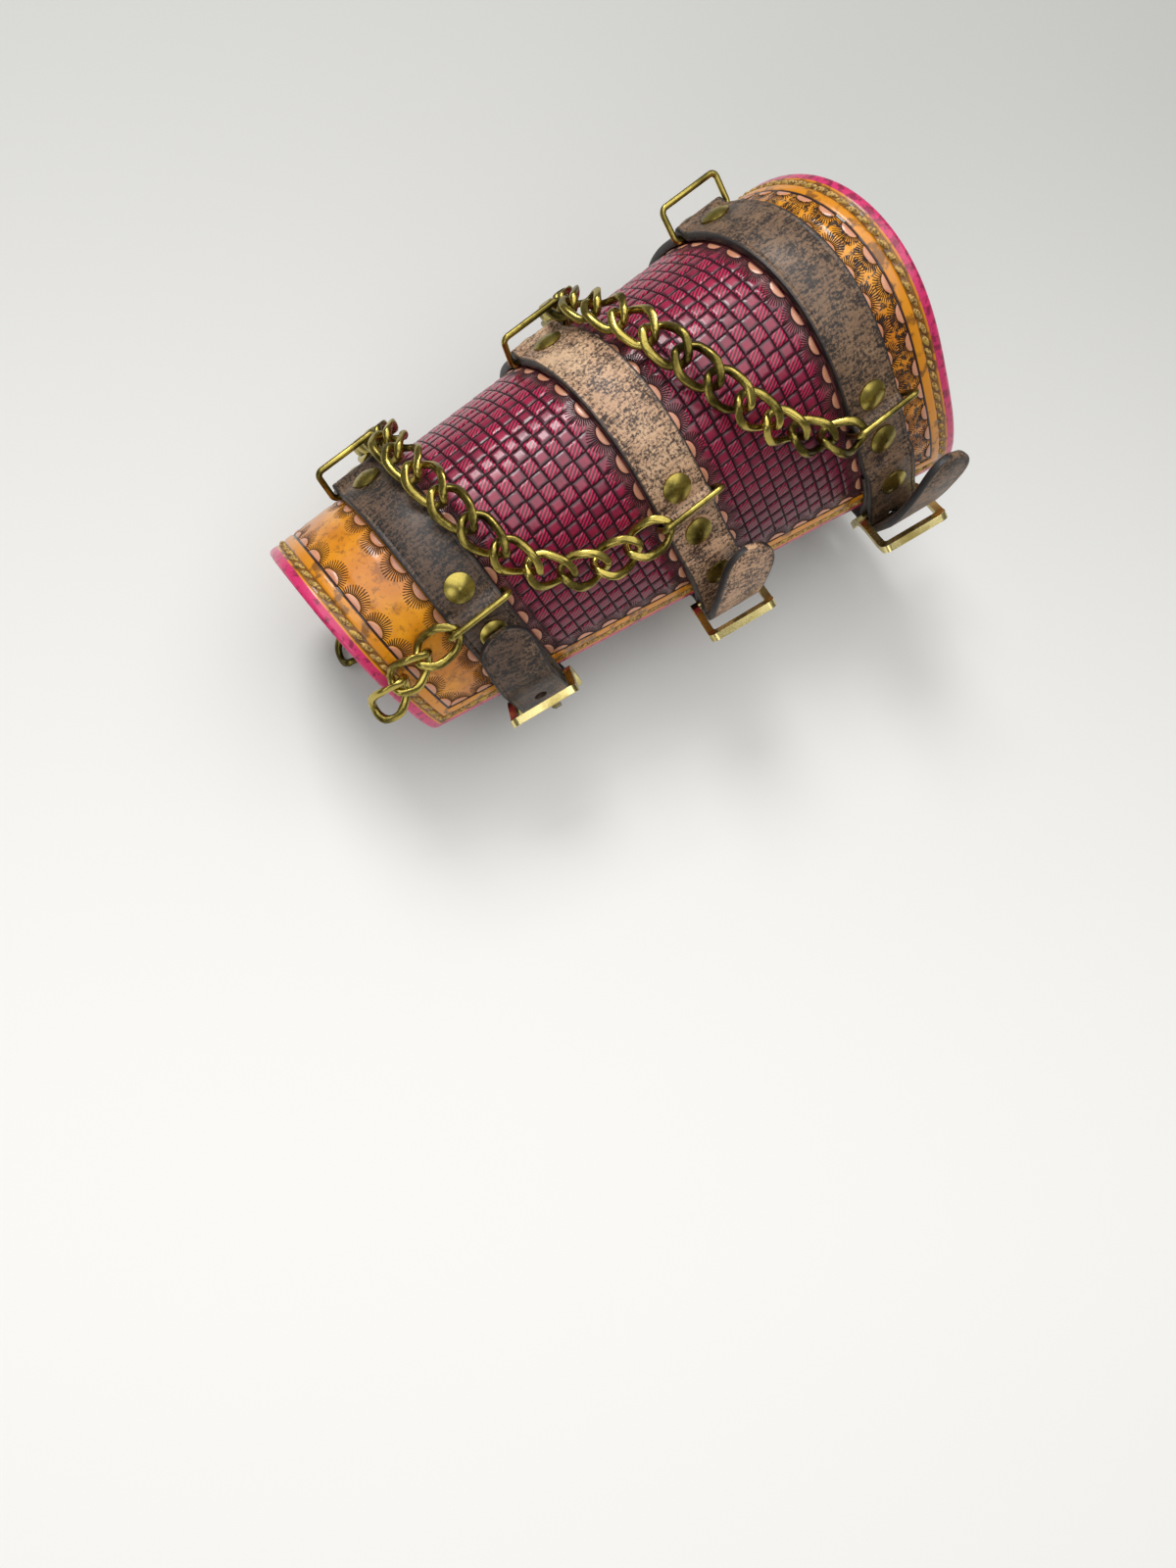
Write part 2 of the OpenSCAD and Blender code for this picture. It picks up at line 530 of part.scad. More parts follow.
module link() polyhedron(link_points, link_faces, convexity = 4);
module link_at(w, roll) place(w[0], w[1], unit(cross(w[2], w[1])), unit(cross(w[1], cross(w[2], w[1]))))
    rotate([roll, 0, 0]) link();

// How far each link rolls over: most where the chain turns off its ring, then it lies flat again
front_rolls = [[], [35, 25, 20, -5, -25, -25, -20, -15, -10, 0],
    [35, 10, -20, -20, -20, -20, -15, -15, -10, 0]];
back_rolls = [[], [10, 5, -5, -10, -10, -10, -5, -5, -5, -5, 0],
    [10, -5, -10, -10, -10, -5, 0, 5, 5, 0, 0]];
function roll_of(i, side, k) = (side > 0 ? front_rolls : back_rolls)[i][k];
// How much higher a rolled link lies
face_half = link_w / 2 - 0.84;
function lift(a) = link_flat / 2 * (cos(a) - 1) + face_half * sin(abs(a));

// A chain's first link goes round a short side of its ring, past the strap's edge, and slopes down to
// the leather. k is the ring's place on strap i: 0 front, 1 centre, 2 back. side is 1 in front, -1 behind
hook_us = [6.8, 8.5, 7.4];
hook_in = 4.4;
hook_slopes = [5, 0, 7];
function hook_roll(i, k) = k == 0 ? 5 - ring_leans[i][k] : 10;
side_wire = ring_l / 2 - ring_wire / 2;
function side_k(side) = side > 0 ? 0 : 2;
function hang(i, k) = let(a = ring_leans[i][k], u = hook_us[k]) [u * sin(a), ring_bed + u * cos(a)];
function first_spot(i, k, yaw) = let(g = hang(i, k), a = hook_slopes[k], l = hook_in * cos(a),
    x = ring_xs(strap_ys[i])[k] + g[0])
    [x + l * sin(yaw), strap_ys[i] - side_wire - l * cos(yaw), g[1] - hook_in * sin(a)];
function mid_spot(i) = let(g = hang(i, 1)) [pair_mid + g[0], strap_ys[i] + mid_y, g[1]];
// The curve drops off its ring and runs level into the mid link. Its reach there is the one that
// makes the swag as long as its links
drops = [0, 58, 26];
swag_yaws = [0, 4, 30];
function swag_spot(i, side, reach, t) = let(
    u = swag_yaws[i], a = first_spot(i, side_k(side), -side * u), b = mid_spot(i - 1),
    edge_y = strap_ys[i - 1] + strap_w / 2,
    q = bezier(a, a + drops[i] * [-sin(u) * side, -cos(u), 0], b + reach * [side, 0.08, 0], b, t),
    on_strap = chain_h + (strap_t + seat) * ease((edge_y + link_w / 2 + edge_run - q.y) / 3),
    h = max(on_strap, a.z - tan(hook_slopes[side_k(side)]) * norm([q.x - a.x, q.y - a.y]),
        b.z - mid_fall * norm([q.x - b.x, q.y - b.y])))
    [at(q.x, q.y, h), concat(axis_z(q.x, q.y), h - on_strap)];
swag_n = 60;
mid_fall = 0.03;
mid_rolls = [4, 4];
edge_run = 1;
function swag_run(i, side, reach) = [for (k = [0:swag_n]) swag_spot(i, side, reach, k / swag_n)];
function run_l(q) = let(g = [for (k = [1:len(q) - 1]) norm(q[k][0] - q[k - 1][0])]) g * [for (v = g) 1];
function links(i, side) = (i == 2 ? upper_links : lower_links) + (side > 0 ? 0 : back_extra);
function reach(i, side, lo, hi, n) = let(m = (lo + hi) / 2) n == 0 ? m
    : run_l(swag_run(i, side, m)) > links(i, side) * link_pitch ? reach(i, side, lo, m, n - 1)
    : reach(i, side, m, hi, n - 1);
function swag_links(i, side) = let(n = links(i, side), q = swag_run(i, side, reach(i, side, 0, 110, 12)),
    p = (run_l(q) + play) / n)
    [for (k = [0:n - 1]) let(w = walk(q, k * p), v = walk(q, k * p + 1), u = walk(q, max(0, k * p - 1)),
        up = [w[2].x, w[2].y, w[2].z])
        [w[0] + max(0, lift(roll_of(i, side, k)) - w[2][3]) * up, unit(v[0] - u[0]), up]];
module swag(i, side) color(brass) {
    w = swag_links(i, side);
    for (k = [0:len(w) - 1]) link_at(w[k], roll_of(i, side, k));
}
module mid_link(i) color(brass) {
    m = mid_spot(i);
    link_at([at(m.x, m.y, m.z), axis_x(m.x, m.y), axis_z(m.x, m.y)], mid_rolls[i]);
}
// A short tail: each link turns further from the ring's side towards the buckle
tail_yaws = [0, 13, 26, 39];
function tail_step(side, j) = let(a = tail_yaws[j - 1], b = tail_yaws[j])
    (link_pitch - play) / 2 * [side * (sin(a) + sin(b)), -cos(a) - cos(b)];
function tail_spot(side, j) = j == 0 ? first_spot(0, side_k(side), side * tail_yaws[0])
    : let(p = tail_spot(side, j - 1), d = tail_step(side, j))
        [p.x + d.x, p.y + d.y, max(chain_h, p.z - link_pitch * tan(hook_slopes[side_k(side)]))];
module tail_link(side, j) color(brass) {
    m = tail_spot(side, j);
    n = tail_spot(side, j + 1);
    a = tail_yaws[j];
    d = at(m.x + side * sin(a), m.y - cos(a), m.z) - at(m.x, m.y, m.z);
    slope = (n.z - m.z) / link_pitch;
    link_at([at(m.x, m.y, m.z), unit(unit(d) + slope * axis_z(m.x, m.y)), axis_z(m.x, m.y)],
        j == 0 ? hook_roll(0, side_k(side)) : 0);
}

stand() outer_leather();
stand() lining();
stand() strap(0);  // strap_wrist
stand() strap(1);  // strap_middle
stand() strap(2);  // strap_elbow
stand() rivet_caps(0);  // rivet_caps_wrist
stand() rivet_caps(1);  // rivet_caps_middle
stand() rivet_caps(2);  // rivet_caps_elbow
stand() rivet_backs(0);  // rivet_backs_wrist
stand() rivet_backs(1);  // rivet_backs_middle
stand() rivet_backs(2);  // rivet_backs_elbow
stand() buckle_frame(0);  // buckle_frame_wrist
stand() buckle_frame(1);  // buckle_frame_middle
stand() buckle_frame(2);  // buckle_frame_elbow
stand() buckle_prong(0);  // buckle_prong_wrist
stand() buckle_prong(1);  // buckle_prong_middle
stand() buckle_prong(2);  // buckle_prong_elbow
stand() ring(0, 0);  // ring_wrist_front
stand() ring(0, 1);  // ring_wrist_centre
stand() ring(0, 2);  // ring_wrist_back
stand() ring(1, 0);  // ring_middle_front
stand() ring(1, 1);  // ring_middle_centre
stand() ring(1, 2);  // ring_middle_back
stand() ring(2, 0);  // ring_elbow_front
stand() ring(2, 1);  // ring_elbow_centre
stand() ring(2, 2);  // ring_elbow_back
stand() swag(2, 1);  // swag_upper_front
stand() swag(2, -1);  // swag_upper_back
stand() swag(1, 1);  // swag_lower_front
stand() swag(1, -1);  // swag_lower_back
stand() mid_link(1);  // mid_link_upper
stand() mid_link(0);  // mid_link_lower
stand() tail_link(1, 0);  // tail_link_front_1
stand() tail_link(1, 1);  // tail_link_front_2
stand() tail_link(1, 2);  // tail_link_front_3
stand() tail_link(-1, 0);  // tail_link_back_1
stand() tail_link(-1, 1);  // tail_link_back_2
stand() tail_link(-1, 2);  // tail_link_back_3
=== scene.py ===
"""Dresses a buckled leather bracer: tooled leather, three riveted straps with buckles, and brass chains.

The leather is worked out flat, in millimetres: x runs across it, y runs from the wrist edge to the
elbow edge, and h is the height above its back. spot() curls it into a slim pear-shaped cone, and
stand() lays that cone on the table and turns millimetres into metres.
"""
import json
import math

import bmesh
import bpy
import numpy as np
from mathutils import Matrix, Vector

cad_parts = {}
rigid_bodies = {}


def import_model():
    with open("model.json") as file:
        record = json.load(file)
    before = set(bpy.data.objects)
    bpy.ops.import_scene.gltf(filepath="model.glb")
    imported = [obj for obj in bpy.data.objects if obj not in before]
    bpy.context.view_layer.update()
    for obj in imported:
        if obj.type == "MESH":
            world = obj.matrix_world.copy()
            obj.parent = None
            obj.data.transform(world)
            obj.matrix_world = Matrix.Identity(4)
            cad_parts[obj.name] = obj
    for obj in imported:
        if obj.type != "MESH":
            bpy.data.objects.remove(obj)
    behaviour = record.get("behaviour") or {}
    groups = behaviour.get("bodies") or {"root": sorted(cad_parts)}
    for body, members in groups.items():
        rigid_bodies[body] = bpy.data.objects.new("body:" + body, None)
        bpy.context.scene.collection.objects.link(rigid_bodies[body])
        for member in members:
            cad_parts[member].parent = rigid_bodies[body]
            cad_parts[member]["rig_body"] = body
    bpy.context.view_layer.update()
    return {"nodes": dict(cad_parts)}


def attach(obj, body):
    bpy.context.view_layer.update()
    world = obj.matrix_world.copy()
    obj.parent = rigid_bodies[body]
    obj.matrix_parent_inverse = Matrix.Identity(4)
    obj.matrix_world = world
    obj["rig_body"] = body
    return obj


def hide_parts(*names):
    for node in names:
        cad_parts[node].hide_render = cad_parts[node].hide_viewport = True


bl_info = {
    "name": "Leather bracer",
    "version": (1, 0, 0),
    "blender": (4, 5, 0),
    "location": "View3D > Sidebar > Bracer",
    "description": "Tooled leather, straps, stitching and chains of a buckled bracer",
    "category": "Add Mesh",
}

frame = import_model()

# The leather: a flat trapezoid that covers WRAP degrees of the arm
WRIST_W, ELBOW_W, SLEEVE_L = 200.0, 308.0, 210.0
WRAP = 318.0
OVAL, PEAR = 0.045, 0.07
# The section's length over that of a circle of its mean radius
SECTION_K = 1 + OVAL ** 2 + 2.25 * PEAR ** 2
APEX_L = WRIST_W * SLEEVE_L / (ELBOW_W - WRIST_W)
TAPER = 2 * math.degrees(math.atan(ELBOW_W / 2 / (SLEEVE_L + APEX_L))) / WRAP
SLANT = math.sqrt(1 - TAPER ** 2)
SIDE_SLOPE = math.atan((ELBOW_W - WRIST_W) / 2 / SLEEVE_L)
LEATHER_T, LINING_T, SEAT = 3.0, 1.2, 0.1
CORNER_R = 5.0
# How it lies on the table
ROLL = -60.0
REST = np.array([-499.66, 9.21, 11.46])
# The straps
STRAPS = ("wrist", "middle", "elbow")
STRAP_YS = (38.5, 111.0, 180.5)
TILTS = (4.0, 24.0, 28.0)
STRAP_W, STRAP_T, FOLD_T = 19.0, 2.8, 2.0
BED_LIFT = 0.25
STRAP_BED = LEATHER_T + BED_LIFT
PAIR_IN, PAIR_MID, PAIR_GAP, CAP_R = 44.0, 4.0, 18.0, 4.8
FOLD_L, HUMP_L, HUMP_RISE = 23.0, 4.1, 2.45
FOLD_STEP, FOLD_STEP_L = 5.0, 4.5
PAST_EDGE = 4.0
# Stations in from the edge: the fold's end, the step down from the bar, and the strap from there on
FOLD_TO, STEP_IN, STEP_RISE, LIE_IN, LIE_STEP = 2.0, 5.2, 1.9, 9.5, 0.8
HOLE_PITCH, HOLE_R = 17.0, 2.3
# The prong's slot in the fold, from the middle bar: half its width and depth, and its two ends
SLOT_W, SLOT_T, SLOT_LOW, SLOT_HIGH = 4.4, 1.8, -4.6, 3.8
# The buckles: distances from the middle bar
BAR_IN = 1.8
BAR_H = STRAP_BED + FOLD_T + BAR_IN
TAIL_IN = BAR_IN + FOLD_T + 2 * SEAT
TAIL_MID = TAIL_IN + STRAP_T / 2
TAIL_OUT = TAIL_IN + STRAP_T
TAIL_BEND = 60.0
BEND_OUTS = (106.0, 104.0, 106.0)
RUN_IN, RUN_OUT = 11.0, 20.0
PRONG_OUT, PRONG_UP = 10.7, 6.4
PRONG_DEG = math.degrees(math.atan(PRONG_UP / PRONG_OUT))
PRONG_S = TAIL_MID * math.tan(math.radians(TAIL_BEND - PRONG_DEG))
# The straps' free ends: height, sideways lean, place in from the edge, and how they level out
TIP_H = (10.4, 26.0, 30.0)
TIP_LEAN = (1.0, 9.0, 10.0)
TIP_BACK = (37.0, 34.0, 34.0)
TIP_RISE = (0.6, -0.5, -0.5)
ROUND_FROM, ROUND_L = 0.66, 0.36
# The chain's links, whose wire is slimmer than the solids' so that moving links clear the straps
LINK_A, LINK_B = 7.85, 5.0
LINK_WIRE, LINK_FLAT, LINK_TWIST = 3.0 * 0.96, 5.4, 55.0
# The tooling: distances in from the edge, the woven field between the outer straps, and the scallops
RIM, STITCH_IN, CUT_IN = 3.4, 5.2, 10.0
STITCH_GAP = 1.2
FIELD_MID, FIELD_HALF = (STRAP_YS[0] + STRAP_YS[2]) / 2, 71.0
HATCH_SHARE = 0.52
MOON_A, MOON_B, FAN_A, FAN_B = 3.15, 2.3, 4.85, 6.2
RAYS = 20
FADE = 1e-3
# How deep the tools pressed
BLOCK_DEEP, FAN_DEEP, RAY_DEEP, CUT_DEEP, CHANNEL_DEEP = 0.4, 0.22, 0.1, 0.42, 0.5
# Edges sharper than this stay sharp when a face is shaded smooth
CREASE, CAST_CREASE = math.radians(40), math.radians(35)
# The photograph's camera: its place in metres, its axes, and its focal length and height in pixels
CAMERA_AT = (-0.1344, -0.0960, 0.3681)
CAMERA_RIGHT, CAMERA_UP = (0.8136, -0.5660, 0.1329), (0.5462, 0.8224, 0.1589)
CAMERA_VIEW = (0.1992, 0.0566, -0.9783)
FOCAL_PX, HEIGHT_PX, SENSOR = 986, 1600, 36.0


def tone(red, green, blue):
    """A colour given as 0 to 255, as Blender's linear colour."""
    share = np.array([red, green, blue]) / 255.0
    return tuple(np.where(share < 0.04045, share / 12.92, ((share + 0.055) / 1.055) ** 2.4).tolist())


# Sums on arrays and on the wires of a material

class Wire:
    """A number that runs through a material's nodes. Each sum or product of wires adds one Math node."""

    def __init__(self, tree, socket):
        self.tree, self.socket = tree, socket

    def math(self, operation, *others):
        node = self.tree.nodes.new("ShaderNodeMath")
        node.operation = operation
        for slot, value in zip(node.inputs, (self,) + others):
            if isinstance(value, Wire):
                self.tree.links.new(value.socket, slot)
            else:
                slot.default_value = value
        return Wire(self.tree, node.outputs[0])

    def __add__(self, other):
        return self.math("ADD", other)

    def __sub__(self, other):
        return self.math("SUBTRACT", other)

    def __rsub__(self, other):
        return self.math("MULTIPLY", -1.0).math("ADD", other)

    def __mul__(self, other):
        return self.math("MULTIPLY", other)

    def __truediv__(self, other):
        return self.math("DIVIDE", other)

    __radd__ = __add__
    __rmul__ = __mul__


def either(operation, on_arrays):
    """A function that works on arrays through numpy and on wires through a Math node."""
    def run(value, *others):
        return value.math(operation, *others) if isinstance(value, Wire) else on_arrays(value, *others)
    return run


floor = either("FLOOR", np.floor)
size = either("ABSOLUTE", np.abs)
least = either("MINIMUM", np.minimum)
most = either("MAXIMUM", np.maximum)
sine = either("SINE", np.sin)
root = either("SQRT", np.sqrt)
bearing = either("ARCTAN2", np.arctan2)


def part(value):
    """What is left of a number over its whole part."""
    return value - floor(value)


def rise(value, low, high):
    """0 below low, 1 above high, and a smooth S between."""
    share = least(most((value - low) / (high - low), 0.0), 1.0)
    return share * share * (3.0 - 2.0 * share)


# The leather's shape

def unit(v):
    """v with length 1."""
    return v / np.linalg.norm(v, axis=-1, keepdims=True)


def dot(a, b):
    """Dot product along the last axis, which is kept."""
    return np.sum(a * b, axis=-1, keepdims=True)


def bulge(a):
    """How far the leather's own length runs ahead of the section's angle a, both in degrees: sines of twice
    and three times the angle, each from one term of the radius."""
    r = np.radians(a)
    return np.degrees(OVAL / 2 * np.sin(2 * r) - PEAR / 3 * np.sin(3 * r)) / SECTION_K


def ray(s):
    """The cone's straight line that lies s degrees round the leather. The section's angle is s less the
    bulge there, found in four rounds. Its radius is 1, plus a little of the cosine of twice the angle, less
    a little of the cosine of three times the angle."""
    a = s
    for _ in range(4):
        a = s - bulge(a)
    r = np.radians(a)
    reach = TAPER / SECTION_K * (1 + OVAL * np.cos(2 * r) - PEAR * np.cos(3 * r))
    return np.stack([np.full_like(reach, SLANT), -reach * np.sin(r), reach * np.cos(r)], -1)


def outward(s):
    """Normal of the cone: the cross product of a step across its lines and the line itself."""
    return unit(np.cross(ray(s + 0.5) - ray(s - 0.5), ray(s)))


def share_of(x, y):
    """Which straight line of the cone a place on the flat leather lies on."""
    return np.degrees(np.arctan2(x, y + APEX_L)) / TAPER


def spot(x, y, h):
    """Curled place of (x, y, h): along its straight line by its distance from the apex, then out by h."""
    x, y, h = np.broadcast_arrays(*(np.asarray(v, float) for v in (x, y, h)))
    s = share_of(x, y)
    point = np.hypot(x, y + APEX_L)[..., None] * ray(s) + h[..., None] * outward(s)
    point[..., 0] -= APEX_L * SLANT
    return point


def axes(x, y):
    """Unit axes at a place on the leather: across it, towards the elbow, outwards."""
    x, y = np.broadcast_arrays(np.asarray(x, float), np.asarray(y, float))
    ez = outward(share_of(x, y))
    d = spot(x + 0.5, y, 0) - spot(x - 0.5, y, 0)
    ex = unit(d - dot(d, ez) * ez)
    return ex, np.cross(ez, ex), ez


LOW = ray(np.array(2 * ROLL + bulge(2 * ROLL)))
PITCH = -math.degrees(math.atan2(math.hypot(LOW[1], LOW[2]), LOW[0]))


def stand(points):
    """Lays curled points on the table: rolled about the length, pitched down at the wrist, in metres."""
    p = np.asarray(points, float) + [APEX_L * SLANT, 0, 0]
    a, b = math.radians(ROLL), math.radians(PITCH)
    roll = np.array([[1, 0, 0], [0, math.cos(a), -math.sin(a)], [0, math.sin(a), math.cos(a)]])
    pitch = np.array([[math.cos(b), 0, math.sin(b)], [0, 1, 0], [-math.sin(b), 0, math.cos(b)]])
    return (p @ (pitch @ roll).T + REST) / 1000


def half_w(y):
    """Half the width of the flat leather at y."""
    return (WRIST_W + (ELBOW_W - WRIST_W) * y / SLEEVE_L) / 2


# The tooling, as sums that work on arrays and on wires

def side_in(x, y):
    """Distance in from the nearer side edge."""
    return (WRIST_W / 2 + y * math.tan(SIDE_SLOPE) - size(x)) * math.cos(SIDE_SLOPE)


def end_in(y):
    """Distance in from the nearer end edge."""
    return least(y, SLEEVE_L - y)


def off_strap(y):
    """Distance from the nearest strap's edge, less than 0 under the strap."""
    nearest = least(least(size(y - STRAP_YS[0]), size(y - STRAP_YS[1])), size(y - STRAP_YS[2]))
    return nearest - STRAP_W / 2


def scallop(t, d, pitch):
    """A half-moon that stands on a line in a fan of rays, repeated along the line: t runs along the line
    and d away from it. The half-moon and the fan are half ellipses, and a ray narrows from the half-moon to
    the fan's rim. Returns the half-moon and the ink, from 0 to 1."""
    u = (part(t / pitch) - 0.5) * pitch
    moon = root(u * u / MOON_A ** 2 + d * d / MOON_B ** 2)
    fan = root(u * u / FAN_A ** 2 + d * d / FAN_B ** 2)
    spread = (moon - 1.0) / (moon - fan + FADE)
    gap = size(part(bearing(d, u) * (RAYS / math.pi)) - 0.5) * 2.0
    rays = most(rise(0.88 - spread * 0.62 - gap, -0.16, 0.16), 1.0 - rise(spread, 0.08, 0.2))
    inked = rays * rise(d, -0.1, 0.15) * rise(moon, 0.96, 1.04) * rise(1.0 - fan, 0.0, 0.03)
    return rise(1.0 - moon, 0.02, 0.1) * rise(d, 0.15, 0.45), inked


def scallops(x, y, pitch):
    """Scallops along both edges of each strap, and along the line that runs round inside the stitching."""
    moon_a, ink_a = scallop(x, off_strap(y), pitch)
    side, end = side_in(x, y), end_in(y)
    by_end = rise(side - end, -0.05, 0.05)
    moon_b, ink_b = scallop(x * by_end + y * (1.0 - by_end), least(side, end) - CUT_IN, pitch)
    return most(moon_a, moon_b), most(ink_a, ink_b)


def in_field(y, soft):
    """1 between the outer straps, where the leather is woven, fading to 0 over soft each way."""
    return rise(size(y - FIELD_MID), FIELD_HALF + soft, FIELD_HALF - soft)


def by_scallops(y, edge, reach, soft):
    """1 within about reach of a strap or the cut line, where the scallops stand, fading to 0 over soft."""
    return most(rise(reach - off_strap(y), 0.0, soft), rise(reach + CUT_IN - edge, 0.0, soft))


def weave(x, y, row, block):
    """Basket weave: rows of blocks in turn hatched and smooth, each row half a step on from the last.
    Returns 1 on hatched blocks, the distance to a block's nearest side, and the place across the row."""
    line = floor(y / row)
    across = y / row - line
    along = part(x / block + part(line * 0.5))
    hatched = 1.0 - rise(size(along - HATCH_SHARE / 2), 0.25, 0.27)
    side = least(least(along, size(along - HATCH_SHARE)), 1.0 - along) * block
    return hatched, least(side, least(across, 1.0 - across) * row), across


def relief(x, y, sizes):
    """How deep the tools pressed the leather at (x, y), in millimetres: blocks of the weave stand proud of
    their grooves, half-moons and fans are pressed in, the cut line and the stitching lie in channels."""
    edge = least(side_in(x, y), end_in(y))
    woven = in_field(y, 0.2) * rise(edge, CUT_IN, CUT_IN + 0.6)
    hatched, side, _ = weave(x, y, sizes.weave_row, sizes.weave_block)
    moon, ink = scallops(x, y, sizes.scallop)
    near = by_scallops(y, edge, 5.2, 2.0)
    blocks = woven * (1.0 - near) * (1.0 - rise(side, 0.1, 0.7) * (0.8 + 0.2 * hatched))
    fans = FAN_DEEP * near * rise(edge, CUT_IN, CUT_IN + 0.4) * (1.0 - moon) + RAY_DEEP * ink
    cut = rise(0.75 - size(edge - CUT_IN), 0.0, 0.7)
    channel = rise(1.9 - size(edge - STITCH_IN), 0.0, 1.0)
    corner = most(1.3 - edge, 0.0)
    return -(BLOCK_DEEP * blocks + fans + CUT_DEEP * cut + CHANNEL_DEEP * channel + 0.42 * corner * corner)


# Meshes

def grid_faces(rows, cols, closed=False):
    """Quads of a grid of points numbered along its rows. A closed grid joins its last column to its first."""
    i, j = np.meshgrid(np.arange(rows - 1), np.arange(cols if closed else cols - 1), indexing="ij")
    k = (j + 1) % cols
    return np.stack([i * cols + j, i * cols + k, (i + 1) * cols + k, (i + 1) * cols + j], -1).reshape(-1, 4)


def make_piece(name, points, faces, finish, body, stands_for=(), note=None, turn=False, sharp=CREASE):
    """A finished piece from world points and faces. note is a vector kept on each point for the material,
    and turn makes all faces look outwards."""
    mesh = bpy.data.meshes.new(name)
    mesh.from_pydata(np.asarray(points).reshape(-1, 3).tolist(), [], faces)
    if note is not None:
        held = mesh.attributes.new("note", "FLOAT_VECTOR", "POINT")
        held.data.foreach_set("vector", np.asarray(note, np.float32).ravel())
    if turn:
        shell = bmesh.new()
        shell.from_mesh(mesh)
        bmesh.ops.recalc_face_normals(shell, faces=shell.faces)
        shell.to_mesh(mesh)
        shell.free()
    mesh.shade_smooth()
    mesh.set_sharp_from_angle(angle=sharp)
    mesh.materials.append(finish)
    piece = bpy.data.objects.new(name, mesh)
    bpy.context.scene.collection.objects.link(piece)
    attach(piece, body)
    if stands_for:
        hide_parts(*stands_for)
    return piece


def leather_shell(y0, y1, cell, low, high, carve):
    """A closed curled sheet between two rows of the flat leather. Its face is a fine grid that carve()
    presses in, and its back has only the rows that its corners need, because a cone is straight along them.
    Returns its points, its faces and the flat place of each point."""
    rows = max(2, math.ceil((y1 - y0) / cell) + 1)
    cols = math.ceil(2 * half_w((y0 + y1) / 2) / cell) + 1
    ys = np.linspace(y0, y1, rows)
    end = np.minimum(np.minimum(ys, SLEEVE_L - ys), CORNER_R)
    reach = half_w(ys) - CORNER_R + np.sqrt(CORNER_R ** 2 - (CORNER_R - end) ** 2)
    x = reach[:, None] * np.linspace(-1, 1, cols)
    y = np.broadcast_to(ys[:, None], x.shape)
    face = np.stack([x, y, high + carve(x, y)], -1)
    kept = [i for i in range(rows) if i in (0, rows - 1) or (end[i] < CORNER_R and i % 3 == 0)]
    back = face[kept].copy()
    back[..., 2] = low
    flat = np.vstack([face.reshape(-1, 3), back.reshape(-1, 3)])
    n = rows * cols
    faces = grid_faces(rows, cols).tolist()
    faces += (grid_faces(len(kept), cols)[:, ::-1] + n).tolist()
    j = np.arange(cols - 1)
    last, last_back = (rows - 1) * cols, n + (len(kept) - 1) * cols
    faces += np.stack([n + j, n + j + 1, j + 1, j], -1).tolist()
    faces += np.stack([last + j, last + j + 1, last_back + j + 1, last_back + j], -1).tolist()
    for k in range(len(kept) - 1):
        run = np.arange(kept[k], kept[k + 1] + 1) * cols
        a, b = n + k * cols, n + (k + 1) * cols
        faces.append([a] + run.tolist() + [b])
        faces.append([b + cols - 1] + (run[::-1] + cols - 1).tolist() + [a + cols - 1])
    return stand(spot(flat[:, 0], flat[:, 1], flat[:, 2])), faces, flat


# The straps

def bezier(p, t):
    """Cubic curve from the first of four control points to the last, drawn towards the two between, and
    its direction."""
    t = np.asarray(t, float)[:, None]
    s = 1 - t
    point = s ** 3 * p[0] + 3 * s ** 2 * t * p[1] + 3 * s * t ** 2 * p[2] + t ** 3 * p[3]
    way = s ** 2 * (p[1] - p[0]) + 2 * s * t * (p[2] - p[1]) + t ** 2 * (p[3] - p[2])
    return point, unit(way)


def buckle_axes(i):
    """The middle bar's place and the buckle's axes: to its outer end, along its bar, and up from it."""
    y, e = STRAP_YS[i], half_w(STRAP_YS[i])
    ex, ey, ez = axes(e, y)
    t = math.radians(TILTS[i])
    return spot(e, y, BAR_H), math.cos(t) * ex - math.sin(t) * ez, ey, math.cos(t) * ez + math.sin(t) * ex


def strap_low(x, y):
    """Height of a strap's back: humps over the three rings, and a step over its own folded end."""
    e = half_w(y)
    low = STRAP_BED + (FOLD_T + SEAT) * rise((x - (e - FOLD_L - FOLD_STEP)) / FOLD_STEP_L, 0.0, 1.0)
    for ring in (e - PAIR_IN, PAIR_MID, PAIR_IN - e):
        d = np.clip((x - ring) / HUMP_L, -1, 1)
        low = low + HUMP_RISE * np.cos(np.pi / 2 * d) ** 2
    return low


def laid(x, y, low, high):
    """Stations on the leather: back, face, width axis and half width."""
    x = np.asarray(x, float)
    return spot(x, y, low), spot(x, y, high), axes(x, y)[1], np.full(len(x), STRAP_W / 2)


def carried(p, t, w0, w1, half):
    """Stations along a curve, whose width axis turns from w0 to w1 and stays square to the curve."""
    point, way = bezier(p, t)
    share = np.asarray(t)[:, None]
    wide = w0 + (w1 - w0) * share
    wide = unit(wide - dot(wide, way) * way)
    up = np.cross(wide, way) * STRAP_T / 2
    return point - up, point + up, wide, half


